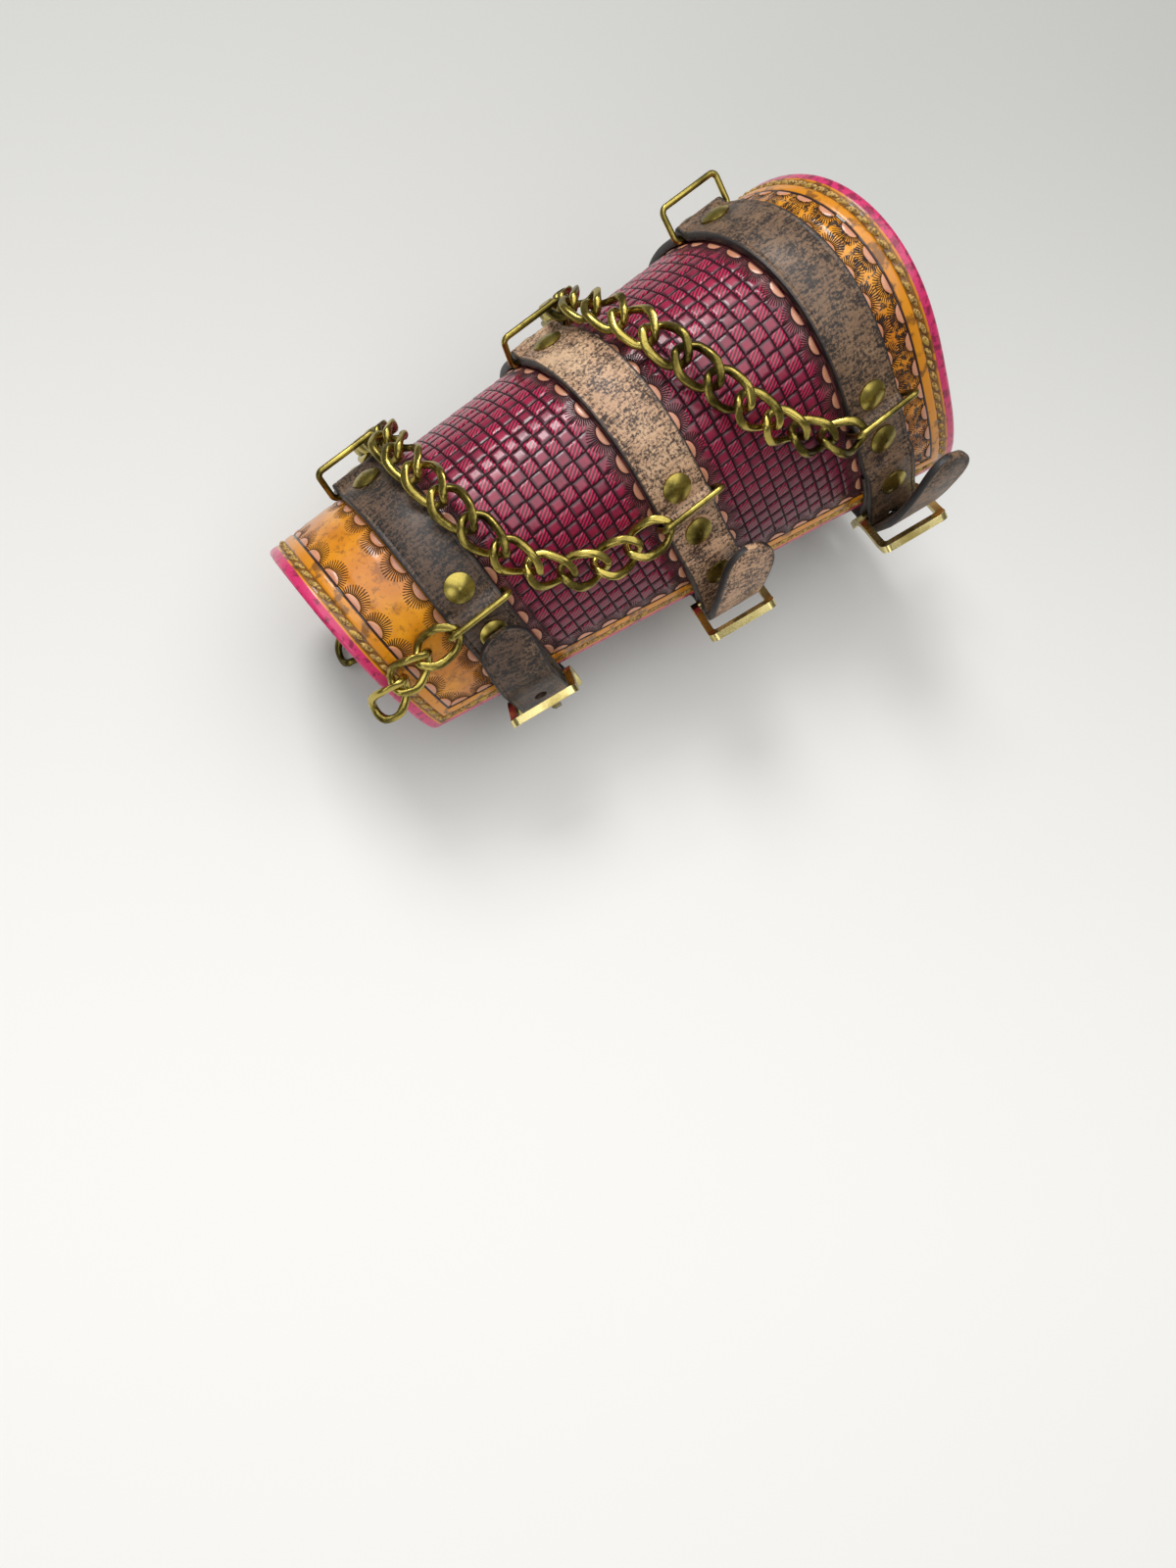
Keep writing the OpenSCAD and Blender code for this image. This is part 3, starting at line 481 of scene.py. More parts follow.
def strap_stations(i):
    """All stations of a strap, from its folded end round the bar, along the leather, across the seam,
    through the buckle and out to its tip. Round the bar they follow arcs about it, across the seam and to
    the tip cubic curves, and the tip's outline is an ellipse. Also returns the number of the station where
    the strap starts to bend over the bar."""
    y, e = STRAP_YS[i], half_w(STRAP_YS[i])
    bar, bx, bw, bz = buckle_axes(i)
    ex, _, ez = axes(e, y)

    def full(n):
        return np.full(n, STRAP_W / 2)

    def round_bar(r, degrees):
        a = np.radians(degrees)[:, None]
        return bar + r * (np.cos(a) * ex + np.sin(a) * ez)

    def in_buckle(r, degrees, s):
        a, s = np.radians(np.asarray(degrees, float))[..., None], np.asarray(s, float)[:, None]
        return bar + (r * np.cos(a) - s * np.sin(a)) * bx + (r * np.sin(a) + s * np.cos(a)) * bz

    x = np.linspace(e - FOLD_L, e - FOLD_TO, 14)
    fold = spot(x, y, STRAP_BED + FOLD_T), spot(x, y, STRAP_BED), axes(x, y)[1], full(14)
    a = np.linspace(-90, 112.5, 28)
    bend = round_bar(BAR_IN, a), round_bar(BAR_IN + FOLD_T, a), np.tile(bw, (28, 1)), full(28)
    x = np.array([e - STEP_IN])
    h = strap_low(x, y) + STEP_RISE
    step = laid(x, y, h, h + (FOLD_T + STRAP_T) / 2)
    free_x = PAIR_IN - e - PAIR_GAP / 2 - CAP_R
    x = np.concatenate([np.arange(e - LIE_IN, free_x, -LIE_STEP), np.linspace(free_x, -e - PAST_EDGE, 18)])
    h = strap_low(x, y)
    lie = laid(x, y, h, h + STRAP_T)
    start, stop = (lie[0][-1] + lie[1][-1]) / 2, in_buckle(TAIL_MID, [TAIL_BEND], [-RUN_IN])[0]
    away = -axes(-e - PAST_EDGE, y)[0]
    t = math.radians(TAIL_BEND)
    into = -math.sin(t) * bx + math.cos(t) * bz
    reach = np.linalg.norm(stop - start) * 0.35
    gap = carried([start, start + away * reach, stop - into * reach, stop], np.linspace(0, 1, 26)[1:-1],
                  lie[2][-1], bw, full(24))
    n = 9
    angles = np.concatenate([np.full(n, TAIL_BEND), np.linspace(TAIL_BEND, BEND_OUTS[i], 12)[1:],
                             np.full(n, BEND_OUTS[i])])
    runs = np.concatenate([np.linspace(-RUN_IN, 0, n), np.zeros(11), np.linspace(0, RUN_OUT, n + 1)[1:]])
    through = (in_buckle(TAIL_IN, angles, runs), in_buckle(TAIL_OUT, angles, runs),
               np.tile(bw, (len(runs), 1)), full(len(runs)))
    t = math.radians(BEND_OUTS[i])
    leave = -math.sin(t) * bx + math.cos(t) * bz
    p0 = (through[0][-1] + through[1][-1]) / 2
    tip = e - TIP_BACK[i]
    p3 = spot(tip, y + TIP_LEAN[i], TIP_H[i])
    p2 = spot(tip + 6, y + TIP_LEAN[i] * 0.6, TIP_H[i] + TIP_RISE[i])
    close = np.sin(np.linspace(0, np.pi / 2, 14)[1:])
    t = np.concatenate([np.linspace(0, ROUND_FROM, 14)[1:], ROUND_FROM + (1 - ROUND_FROM) * close])
    width = STRAP_W / 2 * np.sqrt(1 - (np.maximum(t - ROUND_FROM, 0) / ROUND_L) ** 2)
    out = carried([p0, p0 + leave * np.linalg.norm(p3 - p0) * 0.35, p2, p3], t, bw, axes(tip, y)[1], width)
    parts = (fold, bend, step, lie, gap, through, out)
    first = sum(len(p[3]) for p in parts[:5]) + n - 1
    return [np.concatenate([p[k] for p in parts]) for k in range(4)] + [first]


def strap_section():
    """A strap's section, as (side, inset from that side, share of the thickness): rounded corners, and a
    creased line along each side of its face."""
    half = [(1, 2.3, 1.0), (1, 1.95, 0.93), (1, 1.6, 1.0), (1, 0.8, 0.99), (1, 0.25, 0.93), (1, 0.0, 0.75),
            (1, 0.0, 0.25), (1, 0.25, 0.07), (1, 0.8, 0.0)]
    return np.array([(0, 0, 1.0)] + half + [(0, 0, 0.0)] + [(-a, b, c) for a, b, c in reversed(half)])


def cylinder(centre, axis, radius, length, sides=28):
    """Points and faces of a closed round bar, centred on a point: circles about its axis at both ends."""
    axis, askew = unit(axis), [0.3, 0.9, 0.2]
    across = unit(np.cross(axis, askew))
    other = np.cross(axis, across)
    a = np.linspace(0, 2 * np.pi, sides, endpoint=False)[:, None]
    ring = centre + radius * (np.cos(a) * across + np.sin(a) * other)
    points = np.vstack([ring - axis * length / 2, ring + axis * length / 2])
    faces = grid_faces(2, sides, True).tolist()
    return points, faces + [list(range(sides))[::-1], list(range(sides, 2 * sides))]


def strap_cutters(i, middle, wide, first):
    """The holes of a strap, and the slot in its fold for the prong."""
    bar, bx, bw, bz = buckle_axes(i)
    step = np.linalg.norm(np.diff(middle, axis=0), axis=1)
    run = np.concatenate([[0], np.cumsum(step)])
    run -= run[first]
    way = unit(np.gradient(middle, axis=0))
    shapes = []
    for far in (-PRONG_S - HOLE_PITCH, -PRONG_S - 2 * HOLE_PITCH, HOLE_PITCH - PRONG_S):
        k = int(np.argmin(np.abs(run - far)))
        centre = np.array([np.interp(far, run, middle[:, c]) for c in range(3)])
        shapes.append(cylinder(centre, np.cross(way[k], wide[k]), HOLE_R, 2 * STRAP_T))
    a = math.radians(PRONG_DEG)
    aim = math.cos(a) * bx + math.sin(a) * bz
    shapes.append(cylinder(bar + aim * (TAIL_IN + 2.7), aim, HOLE_R, 6.0))
    loop = ((-SLOT_W, -SLOT_T), (SLOT_W, -SLOT_T), (SLOT_W, SLOT_T), (-SLOT_W, SLOT_T))
    corner = np.array([[u, v, w] for w in (SLOT_LOW, SLOT_HIGH) for u, v in loop])
    box = bar + corner @ np.stack([bx, bw, bz])
    shapes.append((box, grid_faces(2, 4, True).tolist() + [[3, 2, 1, 0], [4, 5, 6, 7]]))
    points, faces, start = [], [], 0
    for p, f in shapes:
        points.append(p)
        faces += [[v + start for v in face] for face in f]
        start += len(p)
    return np.vstack(points), faces


def cut_away(piece, points, faces):
    """Cuts a closed shape out of a piece for good."""
    mesh = bpy.data.meshes.new("cutter")
    mesh.from_pydata(stand(points).tolist(), [], faces)
    tool = bpy.data.objects.new("cutter", mesh)
    bpy.context.scene.collection.objects.link(tool)
    holes = piece.modifiers.new("holes", "BOOLEAN")
    holes.operation, holes.solver, holes.object, holes.use_self = "DIFFERENCE", "EXACT", tool, True
    bpy.context.view_layer.update()
    graph = bpy.context.evaluated_depsgraph_get()
    cut = bpy.data.meshes.new_from_object(piece.evaluated_get(graph), preserve_all_data_layers=True,
                                          depsgraph=graph)
    piece.modifiers.clear()
    cut.name = piece.data.name
    piece.data = cut
    bpy.data.objects.remove(tool)
    cut.set_sharp_from_angle(angle=CREASE)


# The chain and the other metal

def link_shape():
    """A curb link: round wire carried round an oval, turned by up to LINK_TWIST each way from end to end,
    and pressed softly flat. Returns points in millimetres and faces."""
    a = np.radians(np.linspace(-90, 90, 15))
    straight = np.array([0.95, -0.95])
    ahead = LINK_A - LINK_B
    line = np.vstack([
        np.stack([ahead + LINK_B * np.cos(a), LINK_B * np.sin(a), a], -1),
        np.stack([straight, np.full(2, LINK_B), np.full(2, np.pi / 2)], -1),
        np.stack([-ahead - LINK_B * np.cos(a), -LINK_B * np.sin(a), a + np.pi], -1),
        np.stack([-straight, np.full(2, -LINK_B), np.full(2, -np.pi / 2)], -1)])
    f = np.linspace(0, 2 * np.pi, 10, endpoint=False)
    thick = LINK_WIRE / 2
    out = thick * np.cos(f)
    x = line[:, 0, None] + out * np.cos(line[:, 2, None])
    y = line[:, 1, None] + out * np.sin(line[:, 2, None])
    z = np.broadcast_to(thick * np.sin(f), x.shape)
    t = np.radians(LINK_TWIST) * np.clip(x / LINK_A, -1, 1)
    y, z = y * np.cos(t) - z * np.sin(t), y * np.sin(t) + z * np.cos(t)
    flat = LINK_FLAT / 2
    z = z / (1 + np.abs(z / flat) ** 8) ** (1 / 8)
    rows, cols = x.shape
    faces = grid_faces(rows, cols, True)
    j, last = np.arange(cols), (rows - 1) * cols
    closing = np.stack([last + j, last + (j + 1) % cols, (j + 1) % cols, j], -1)
    return np.stack([x, y, z], -1).reshape(-1, 3), np.vstack([faces, closing])


def solid_frames(node):
    """Centre and axes of each solid in a node, in metres, from how its corners are spread: longest first."""
    mesh = frame["nodes"][node].data
    co = np.zeros(len(mesh.vertices) * 3)
    mesh.vertices.foreach_get("co", co)
    mesh.calc_loop_triangles()
    tri = np.zeros(len(mesh.loop_triangles) * 3, int)
    mesh.loop_triangles.foreach_get("vertices", tri)
    corners, same = np.unique(np.round(co.reshape(-1, 3), 6), axis=0, return_inverse=True)
    tri = same.ravel()[tri].reshape(-1, 3)
    label = np.arange(len(corners))
    for _ in range(200):
        low = label[tri].min(1)
        before = label.copy()
        for k in range(3):
            np.minimum.at(label, tri[:, k], low)
        if np.array_equal(before, label):
            break
    found = []
    for value in np.unique(label):
        points = corners[label == value]
        centre = points.mean(0)
        spread = np.linalg.eigh(np.cov((points - centre).T))[1][:, ::-1].T
        spread[2] = np.cross(spread[0], spread[1])
        found.append((centre, spread))
    return found


def chain_piece(node, finish):
    """The links of a chain's node, each on its solid's own frame."""
    shape, quads = link_shape()
    points, faces = [], []
    for k, (centre, turned) in enumerate(solid_frames(node)):
        points.append(centre + shape / 1000 @ turned)
        faces.append(quads + k * len(shape))
    body = frame["nodes"][node]["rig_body"]
    make_piece("linked_" + node, np.vstack(points), np.vstack(faces).tolist(), finish, body,
               (node,), turn=True, sharp=math.radians(70))


def refined(node, finish, bevel=0.0):
    """A node's own solids with smooth faces, and eased edges when bevel is given."""
    source = frame["nodes"][node]
    mesh = source.data.copy()
    mesh.materials.clear()
    solid = bmesh.new()
    solid.from_mesh(mesh)
    bmesh.ops.remove_doubles(solid, verts=solid.verts, dist=2e-6)
    bmesh.ops.dissolve_limit(solid, angle_limit=math.radians(0.6), verts=solid.verts, edges=solid.edges)
    bmesh.ops.recalc_face_normals(solid, faces=solid.faces)
    solid.to_mesh(mesh)
    solid.free()
    mesh.shade_smooth()
    mesh.set_sharp_from_angle(angle=CAST_CREASE)
    mesh.materials.append(finish)
    piece = bpy.data.objects.new("cast_" + node, mesh)
    bpy.context.scene.collection.objects.link(piece)
    if bevel:
        ease = piece.modifiers.new("eased", "BEVEL")
        ease.width, ease.segments, ease.limit_method = bevel, 3, "ANGLE"
        ease.angle_limit = CAST_CREASE
        ease.harden_normals = True
    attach(piece, source["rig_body"])
    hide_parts(node)


# Materials

class Finish:
    """A material being put together: its nodes, and the shader that they end in."""

    def __init__(self, name, **sockets):
        self.material = bpy.data.materials.new(name)
        self.material.use_nodes = True
        self.tree = self.material.node_tree
        self.shader = self.tree.nodes["Principled BSDF"]
        for key, value in sockets.items():
            self.shader.inputs[key.replace("_", " ").title().replace("Ior", "IOR")].default_value = value

    def node(self, kind, **links):
        """A new node. A link's name is its socket's, with _ for a space."""
        node = self.tree.nodes.new("ShaderNode" + kind)
        for key, value in links.items():
            self.feed(node.inputs[key.replace("_", " ")], value)
        return node

    def feed(self, slot, value):
        if isinstance(value, Wire):
            self.tree.links.new(value.socket, slot)
        elif slot.type == "RGBA":
            slot.default_value = tuple(value)[:3] + (1.0,)
        else:
            slot.default_value = value

    def kept(self):
        """The vector kept on each point of a piece."""
        source = self.node("Attribute")
        source.attribute_name = "note"
        return source.outputs["Vector"]

    def place(self):
        """The place of each point, in metres."""
        return self.node("TexCoord").outputs["Object"]

    def apart(self, socket):
        """The three numbers of a vector."""
        node = self.tree.nodes.new("ShaderNodeSeparateXYZ")
        self.tree.links.new(socket, node.inputs[0])
        return [Wire(self.tree, out) for out in node.outputs]

    def noise(self, millimetres, detail=3.0, rough=0.55, stretch=None, from_note=False):
        """Soft noise from 0 to 1 whose blots are about so many millimetres wide."""
        place, scale = (self.kept(), 1.0) if from_note else (self.place(), 1000.0)
        if stretch:
            shift = self.tree.nodes.new("ShaderNodeMapping")
            shift.inputs["Scale"].default_value = stretch
            self.tree.links.new(place, shift.inputs["Vector"])
            place = shift.outputs[0]
        node = self.node("TexNoise", Scale=scale / millimetres / 2, Detail=detail, Roughness=rough)
        self.tree.links.new(place, node.inputs["Vector"])
        return Wire(self.tree, node.outputs["Fac"])

    def mix(self, share, first, second):
        """Colour first where share is 0 and second where it is 1."""
        node = self.tree.nodes.new("ShaderNodeMix")
        node.data_type = "RGBA"
        slots = [s for s in node.inputs if s.enabled]
        for slot, value in zip(slots, (share, first, second)):
            self.feed(slot, value)
        return Wire(self.tree, [s for s in node.outputs if s.enabled][0])

    def bump(self, height, millimetres):
        """Raises the surface by height times so many millimetres."""
        node = self.node("Bump", Height=height, Distance=millimetres / 1000)
        self.tree.links.new(node.outputs[0], self.shader.inputs["Normal"])

    def done(self, colour, roughness):
        self.feed(self.shader.inputs["Base Color"], colour)
        self.feed(self.shader.inputs["Roughness"], roughness)
        return self.material


def tooled_finish(colours, sizes):
    """Dyed, lacquered leather: magenta basket weave between the straps, ochre at both ends, dark scallops
    with pale half-moons, and a pink rim. Coloured by the same sums that carve it, with painted shade that
    darkens the weave towards the buckle edge."""
    f = Finish("tooled_leather", coat_weight=0.35, coat_roughness=0.16, specular_ior_level=0.5)
    x, y, h = f.apart(f.kept())
    broad, blots, grain = f.noise(9), f.noise(2.6, 4.0), f.noise(0.5, 3.0, 0.7)
    edge = least(side_in(x, y), end_in(y))
    hatched, side, across = weave(x, y, sizes.weave_row, sizes.weave_block)
    moon, ink = scallops(x, y, sizes.scallop)
    line = rise(sine((x * 0.875 + y * 0.486) * (2 * math.pi / 1.05)), -0.3, 0.3)
    bars = rise(size(across - 0.5), 0.3, 0.24) * 0.45 + rise(size(across - 0.5), 0.32, 0.36) * 0.4
    glow = rise(broad, 0.35, 0.62) * 0.4 + rise(blots, 0.4, 0.66) * 0.35
    border = rise(side, 0.45, 1.1)
    smooth = (1.0 - hatched) * (bars * 0.25 + glow * 0.45 + 0.1) * border
    light = hatched * (line * 0.85 + glow * 0.15) + smooth
    field = f.mix(light, colours.maroon, colours.magenta)
    # Painted shade: the weave darkens to plum towards the buckle edge, the side turned away from the key
    # light, its border broken up by broad noise.
    field = f.mix(rise(x + broad * 50.0, 85.0, 150.0) * 0.6, field, tone(58, 22, 38))
    near = by_scallops(y, edge, 5.6, 4.0)
    field = f.mix(near * 0.8, field, f.mix(rise(blots, 0.4, 0.6), tone(138, 84, 84), tone(72, 34, 40)))
    groove = (1.0 - rise(side, 0.1, 0.5)) * (1.0 - near)
    field = f.mix(groove * 0.94, field, colours.shadow)
    elbow = rise(y, STRAP_YS[1], STRAP_YS[1] + 1)
    gold = f.mix(rise(broad, 0.35, 0.65), colours.ochre, colours.honey)
    flecks = rise(f.noise(0.9, 4.0, 0.65) + elbow * 0.05 + broad * 0.1, 0.6, 0.66)
    stain = rise(blots + (1.0 - elbow) * 0.02, 0.56, 0.72) * 0.6
    gold = f.mix(flecks * (0.35 + 0.6 * elbow), gold, tone(38, 26, 14))
    gold = f.mix(stain, gold, tone(120, 66, 20))
    woven = in_field(y, 0.3)
    skin = f.mix(woven, gold, field)
    skin = f.mix(ink * 0.94, skin, colours.ink)
    skin = f.mix(moon, skin, f.mix(blots, colours.moon, tone(176, 108, 78)))
    strip = f.mix(rise(blots, 0.5, 0.62) * 0.75, f.mix(broad, colours.honey, colours.ochre), tone(92, 58, 22))
    skin = f.mix(rise(CUT_IN - edge, 0.0, 0.15), skin, strip)
    skin = f.mix(rise(0.55 - size(edge - CUT_IN), 0.0, 0.3), skin, colours.ink)
    skin = f.mix(rise(1.7 - size(edge - STITCH_IN), 0.0, 0.6) * 0.75, skin, tone(70, 44, 20))
    rim = f.mix(rise(f.noise(1.2, 4.0) + elbow * 0.04, 0.52, 0.66) * 0.6, colours.rim, colours.shadow)
    skin = f.mix(rise(RIM - edge, 0.0, 0.3), skin, rim)
    skin = f.mix(1.0 - rise(h, 1.5, 2.1), skin, tone(58, 14, 28))
    lines = woven * hatched * line * rise(edge, CUT_IN, CUT_IN + 0.5) * (1.0 - near)
    f.bump(lines * 0.22 - ink * 0.22 + grain * 0.05 + blots * 0.06, 1.0)
    f.feed(f.shader.inputs["Coat Weight"], (1.0 - most(groove * woven, ink)) * 0.4)
    f.feed(f.shader.inputs["Specular IOR Level"], 0.5 - most(groove * woven, ink) * 0.35)
    return f.done(skin, 0.27 + grain * 0.14 + ink * 0.2 + groove * woven * 0.25)


def strap_finish(name, face, dark, worn, under):
    """Worn strap leather: a fine wrinkled grain that runs across it, speckles, burnished dark sides, and a
    grey-brown flesh side."""
    f = Finish(name, specular_ior_level=0.5, coat_weight=0.12, coat_roughness=0.3)
    _, across, share = f.apart(f.kept())
    wrinkle = f.noise(0.6, 4.0, 0.7, (1.0, 2.0, 1.0), True)
    fine, broad, blots = f.noise(0.45, 4.0, 0.75), f.noise(14, 3.0), f.noise(3.2, 4.0, 0.65)
    spots = rise(fine * 0.5 + blots * 0.25 + wrinkle * 0.35, 0.49, 0.6)
    skin = f.mix(spots, dark, face)
    skin = f.mix(rise(broad * 0.6 + fine * 0.5, 0.56, 0.72) * 0.8, skin, worn)
    skin = f.mix(rise(size(across) + blots * 0.06, 0.91, 0.97) * 0.9, skin, tone(26, 24, 24))
    flesh = f.mix(rise(fine, 0.4, 0.62), tone(70, 58, 50), under)
    skin = f.mix(rise(size(across), 0.96, 1.0), skin, tone(30, 28, 28))
    skin = f.mix(1.0 - rise(share, 0.04, 0.2), skin, flesh)
    f.bump(fine * 0.5 + wrinkle * 0.35 + blots * 0.3, 0.35)
    return f.done(skin, 0.38 + fine * 0.25)


def brass_finish(name, bright, dull, roughness):
    """Antique brass: dull brown-green patches under worn, brighter metal, with fine scratches."""
    f = Finish(name, metallic=1.0)
    patches, fine = f.noise(6.0, 3.0, 0.5), f.noise(0.4, 3.0, 0.6)
    skin = f.mix(rise(patches * 0.8 + fine * 0.2, 0.36, 0.6), dull, bright)
    f.bump(patches * 0.5 + fine * 0.15, 0.1)
    return f.done(skin, roughness + fine * 0.1 + (1.0 - rise(patches, 0.4, 0.6)) * 0.06)


def thread_finish(colour):
    """Waxed thread, with dark dirt in its twist."""
    f = Finish("waxed_thread", specular_ior_level=0.4)
    fine = f.noise(0.35, 3.0, 0.6)
    skin = f.mix(rise(fine, 0.35, 0.6), tone(92, 66, 34), colour)
    skin = f.mix(rise(f.noise(2.5), 0.55, 0.7) * 0.6, skin, tone(214, 178, 70))
    f.bump(fine, 0.15)
    return f.done(skin, 0.42 + fine * 0.2)


def lining_finish(colour):
    """Black lining leather with a close grain."""
    f = Finish("black_lining", specular_ior_level=0.4)
    fine = f.noise(0.5, 4.0, 0.7)
    f.bump(fine * 0.6 + f.noise(2.0) * 0.4, 0.25)
    return f.done(f.mix(rise(fine, 0.35, 0.7), tone(16, 14, 14), colour), 0.5 + fine * 0.25)


# Sizes and colours that a user would change

def colour(label, description, red, green, blue):
    """A colour property."""
    return bpy.props.FloatVectorProperty(name=label, description=description, default=tone(red, green, blue),
                                         size=3, min=0.0, max=1.0, subtype="COLOR")


def length(label, description, millimetres, low, high):
    """A length property, in millimetres."""
    return bpy.props.FloatProperty(name=label, description=description + ", in millimetres",
                                   default=millimetres, min=low, max=high, precision=2)


class BracerColours(bpy.types.PropertyGroup):
    """Dyes and metals."""
    magenta: colour("Magenta", "Bright dye of the basket weave", 204, 24, 82)
    maroon: colour("Maroon", "Deep dye between the hatching lines", 66, 7, 30)
    shadow: colour("Shadow", "Antiquing in the weave's grooves", 34, 6, 16)
    ochre: colour("Ochre", "Dye of the two end bands", 232, 154, 18)
    honey: colour("Honey", "Darker dye of the end bands", 204, 122, 16)
    ink: colour("Ink", "Antiquing in the rays and cut lines", 44, 22, 20)
    moon: colour("Half-moon", "Bare leather of the half-moons", 232, 168, 132)
    rim: colour("Rim", "Dye of the outer rim", 208, 46, 104)
    thread: colour("Thread", "Waxed stitching thread", 204, 164, 88)
    lining: colour("Lining", "Lining leather", 36, 32, 32)
    brass: colour("Brass", "Worn brass of chains, rings and caps", 182, 164, 84)
    tarnish: colour("Tarnish", "Dull patches of the brass", 92, 82, 38)


class BracerSizes(bpy.types.PropertyGroup):
    """Sizes of the tooling and the thread, in millimetres."""
    cell: length("Cell", "Size of the tooled face's mesh cells", 0.5, 0.45, 4.0)
    weave_row: length("Weave row", "Height of a row of the basket weave", 4.7, 3.0, 8.0)
    weave_block: length("Weave step", "Length of a hatched and a smooth block", 8.6, 5.0, 14.0)
    scallop: length("Scallop", "Distance from one scallop to the next", 9.4, 6.0, 14.0)
    stitch: length("Stitch", "Distance from one stitch to the next", 4.5, 3.0, 8.0)
    thread: length("Thread", "Width of a stitch", 1.9, 0.8, 2.4)


class BracerPiece:
    """What the operators share."""
    bl_options = {"REGISTER", "UNDO"}

    @property
    def colours(self):
        return bpy.context.scene.bracer_colours

    @property
    def sizes(self):
        return bpy.context.scene.bracer_sizes

    def execute(self, context):
        self.build()
        return {"FINISHED"}


class BRACER_OT_leather(BracerPiece, bpy.types.Operator):
    """The tooled outer leather, in four bands that meet under the straps"""
    bl_idname = "bracer.leather"
    bl_label = "Tooled leather"

    def build(self):
        finish = tooled_finish(self.colours, self.sizes)
        ends = (0.0,) + STRAP_YS + (SLEEVE_L,)
        for name, y0, y1 in zip(("wrist_band", "lower_panel", "upper_panel", "elbow_band"), ends, ends[1:]):
            points, faces, flat = leather_shell(y0, y1, self.sizes.cell, SEAT / 2, LEATHER_T,
                                                lambda x, y: relief(x, y, self.sizes))
            make_piece("tooled_" + name, points, faces, finish, "sleeve",
                       ("outer_leather",), flat)


class BRACER_OT_lining(BracerPiece, bpy.types.Operator):
    """The black lining inside the bracer"""
    bl_idname = "bracer.lining"
    bl_label = "Lining"

    def build(self):
        face = -SEAT / 2
        points, faces, _ = leather_shell(0.0, SLEEVE_L, 2.0, face - LINING_T, face, lambda x, y: 0 * x)
        make_piece("lining_sheet", points, faces, lining_finish(self.colours.lining), "sleeve",
                   ("lining",))


class BRACER_OT_straps(BracerPiece, bpy.types.Operator):
    """The three riveted straps, with their folded ends, holes and tips"""
    bl_idname = "bracer.straps"
    bl_label = "Straps"

    # Each strap's face, dark grain, worn patches and flesh side
    TONES = (((92, 70, 54), (24, 19, 17), (148, 120, 94), (100, 78, 66)),
             ((196, 156, 122), (62, 42, 32), (220, 186, 150), (112, 92, 78)),
             ((122, 94, 70), (36, 27, 22), (156, 124, 94), (108, 92, 80)))

    def build(self):
        section = strap_section()
        slots = ("dark_strap", "tan_strap", "brown_strap")
        for i, name in enumerate(STRAPS):
            inner, outer, wide, half, first = strap_stations(i)
            a, inset, b = (section[:, k, None] for k in range(3))
            across = a * (half[:, None, None] - inset)
            points = inner[:, None] + (outer - inner)[:, None] * b + wide[:, None] * across
            middle = (inner + outer) / 2
            run = np.concatenate([[0], np.cumsum(np.linalg.norm(np.diff(middle, axis=0), axis=1))])
            rows, cols = len(run), len(section)
            note = np.stack([np.broadcast_to(run[:, None], (rows, cols)), across[..., 0] / half[:, None],
                             np.broadcast_to(section[:, 2], (rows, cols))], -1)
            faces = grid_faces(rows, cols, True).tolist()
            faces += [list(range(cols)), list(range((rows - 1) * cols, rows * cols))[::-1]]
            finish = strap_finish(slots[i] + "_leather", *(tone(*rgb) for rgb in self.TONES[i]))
            piece = make_piece("laced_strap_" + name, stand(points), faces, finish, "sleeve",
                               ("strap_" + name,), note, True)
            cut_away(piece, *strap_cutters(i, middle, wide, first))


class BRACER_OT_stitching(BracerPiece, bpy.types.Operator):
    """Thick twisted stitches all round the leather, left out where straps cover them"""
    bl_idname = "bracer.stitching"
    bl_label = "Stitching"

    def places(self):
        """Centre and direction of each stitch on the flat leather, going once round."""
        step = self.sizes.stitch
        inset = STITCH_IN / math.cos(SIDE_SLOPE)
        y = np.arange(STITCH_IN + 2.6, SLEEVE_L - STITCH_IN - 1, step * math.cos(SIDE_SLOPE))
        y = y[off_strap(y) > STITCH_GAP]
        found = []
        for side in (1, -1):
            x = side * (half_w(y) - inset)
            found.append(np.stack([x, y, np.full_like(y, math.pi / 2 - side * SIDE_SLOPE)], -1))
        for row in (STITCH_IN, SLEEVE_L - STITCH_IN):
            x = np.arange(-half_w(row) + inset + 1.5, half_w(row) - inset - 1, step)
            found.append(np.stack([x, np.full_like(x, row), np.zeros_like(x)], -1))
        return np.vstack(found)

    def build(self):
        """Each stitch is a lens: its width and height follow the root of a sine along it, with two plies
        wound round it, and it lies askew to the row of stitches."""
        place = self.places()
        t = np.linspace(0.02, 0.98, 9)[:, None]
        f = np.linspace(0, 2 * np.pi, 9, endpoint=False)[None, :]
        swell = np.sin(np.pi * t) ** 0.6 * (1 + 0.12 * np.cos(2 * f - 5 * t))
        along = (t - 0.5) * self.sizes.stitch * 1.16 + 0 * f
        across = self.sizes.thread / 2 * swell * np.cos(f)
        height = LEATHER_T - 0.7 + 0.9 * swell * np.sin(f) + 0.15 * np.sin(np.pi * t)
        turn = place[:, 2, None, None] + math.radians(20)
        x = place[:, 0, None, None] + along * np.cos(turn) - across * np.sin(turn)
        y = place[:, 1, None, None] + along * np.sin(turn) + across * np.cos(turn)
        points = stand(spot(x, y, height))
        n, rows, cols = x.shape
        one = grid_faces(rows, cols, True)
        faces = (one[None] + (np.arange(n) * rows * cols)[:, None, None]).reshape(-1, 4).tolist()
        for k in range(n):
            start = k * rows * cols
            faces.append(list(range(start, start + cols)))
            faces.append(list(range(start + (rows - 1) * cols, start + rows * cols))[::-1])
        make_piece("twisted_stitches", points, faces, thread_finish(self.colours.thread), "sleeve",
                   turn=True, sharp=math.radians(80))


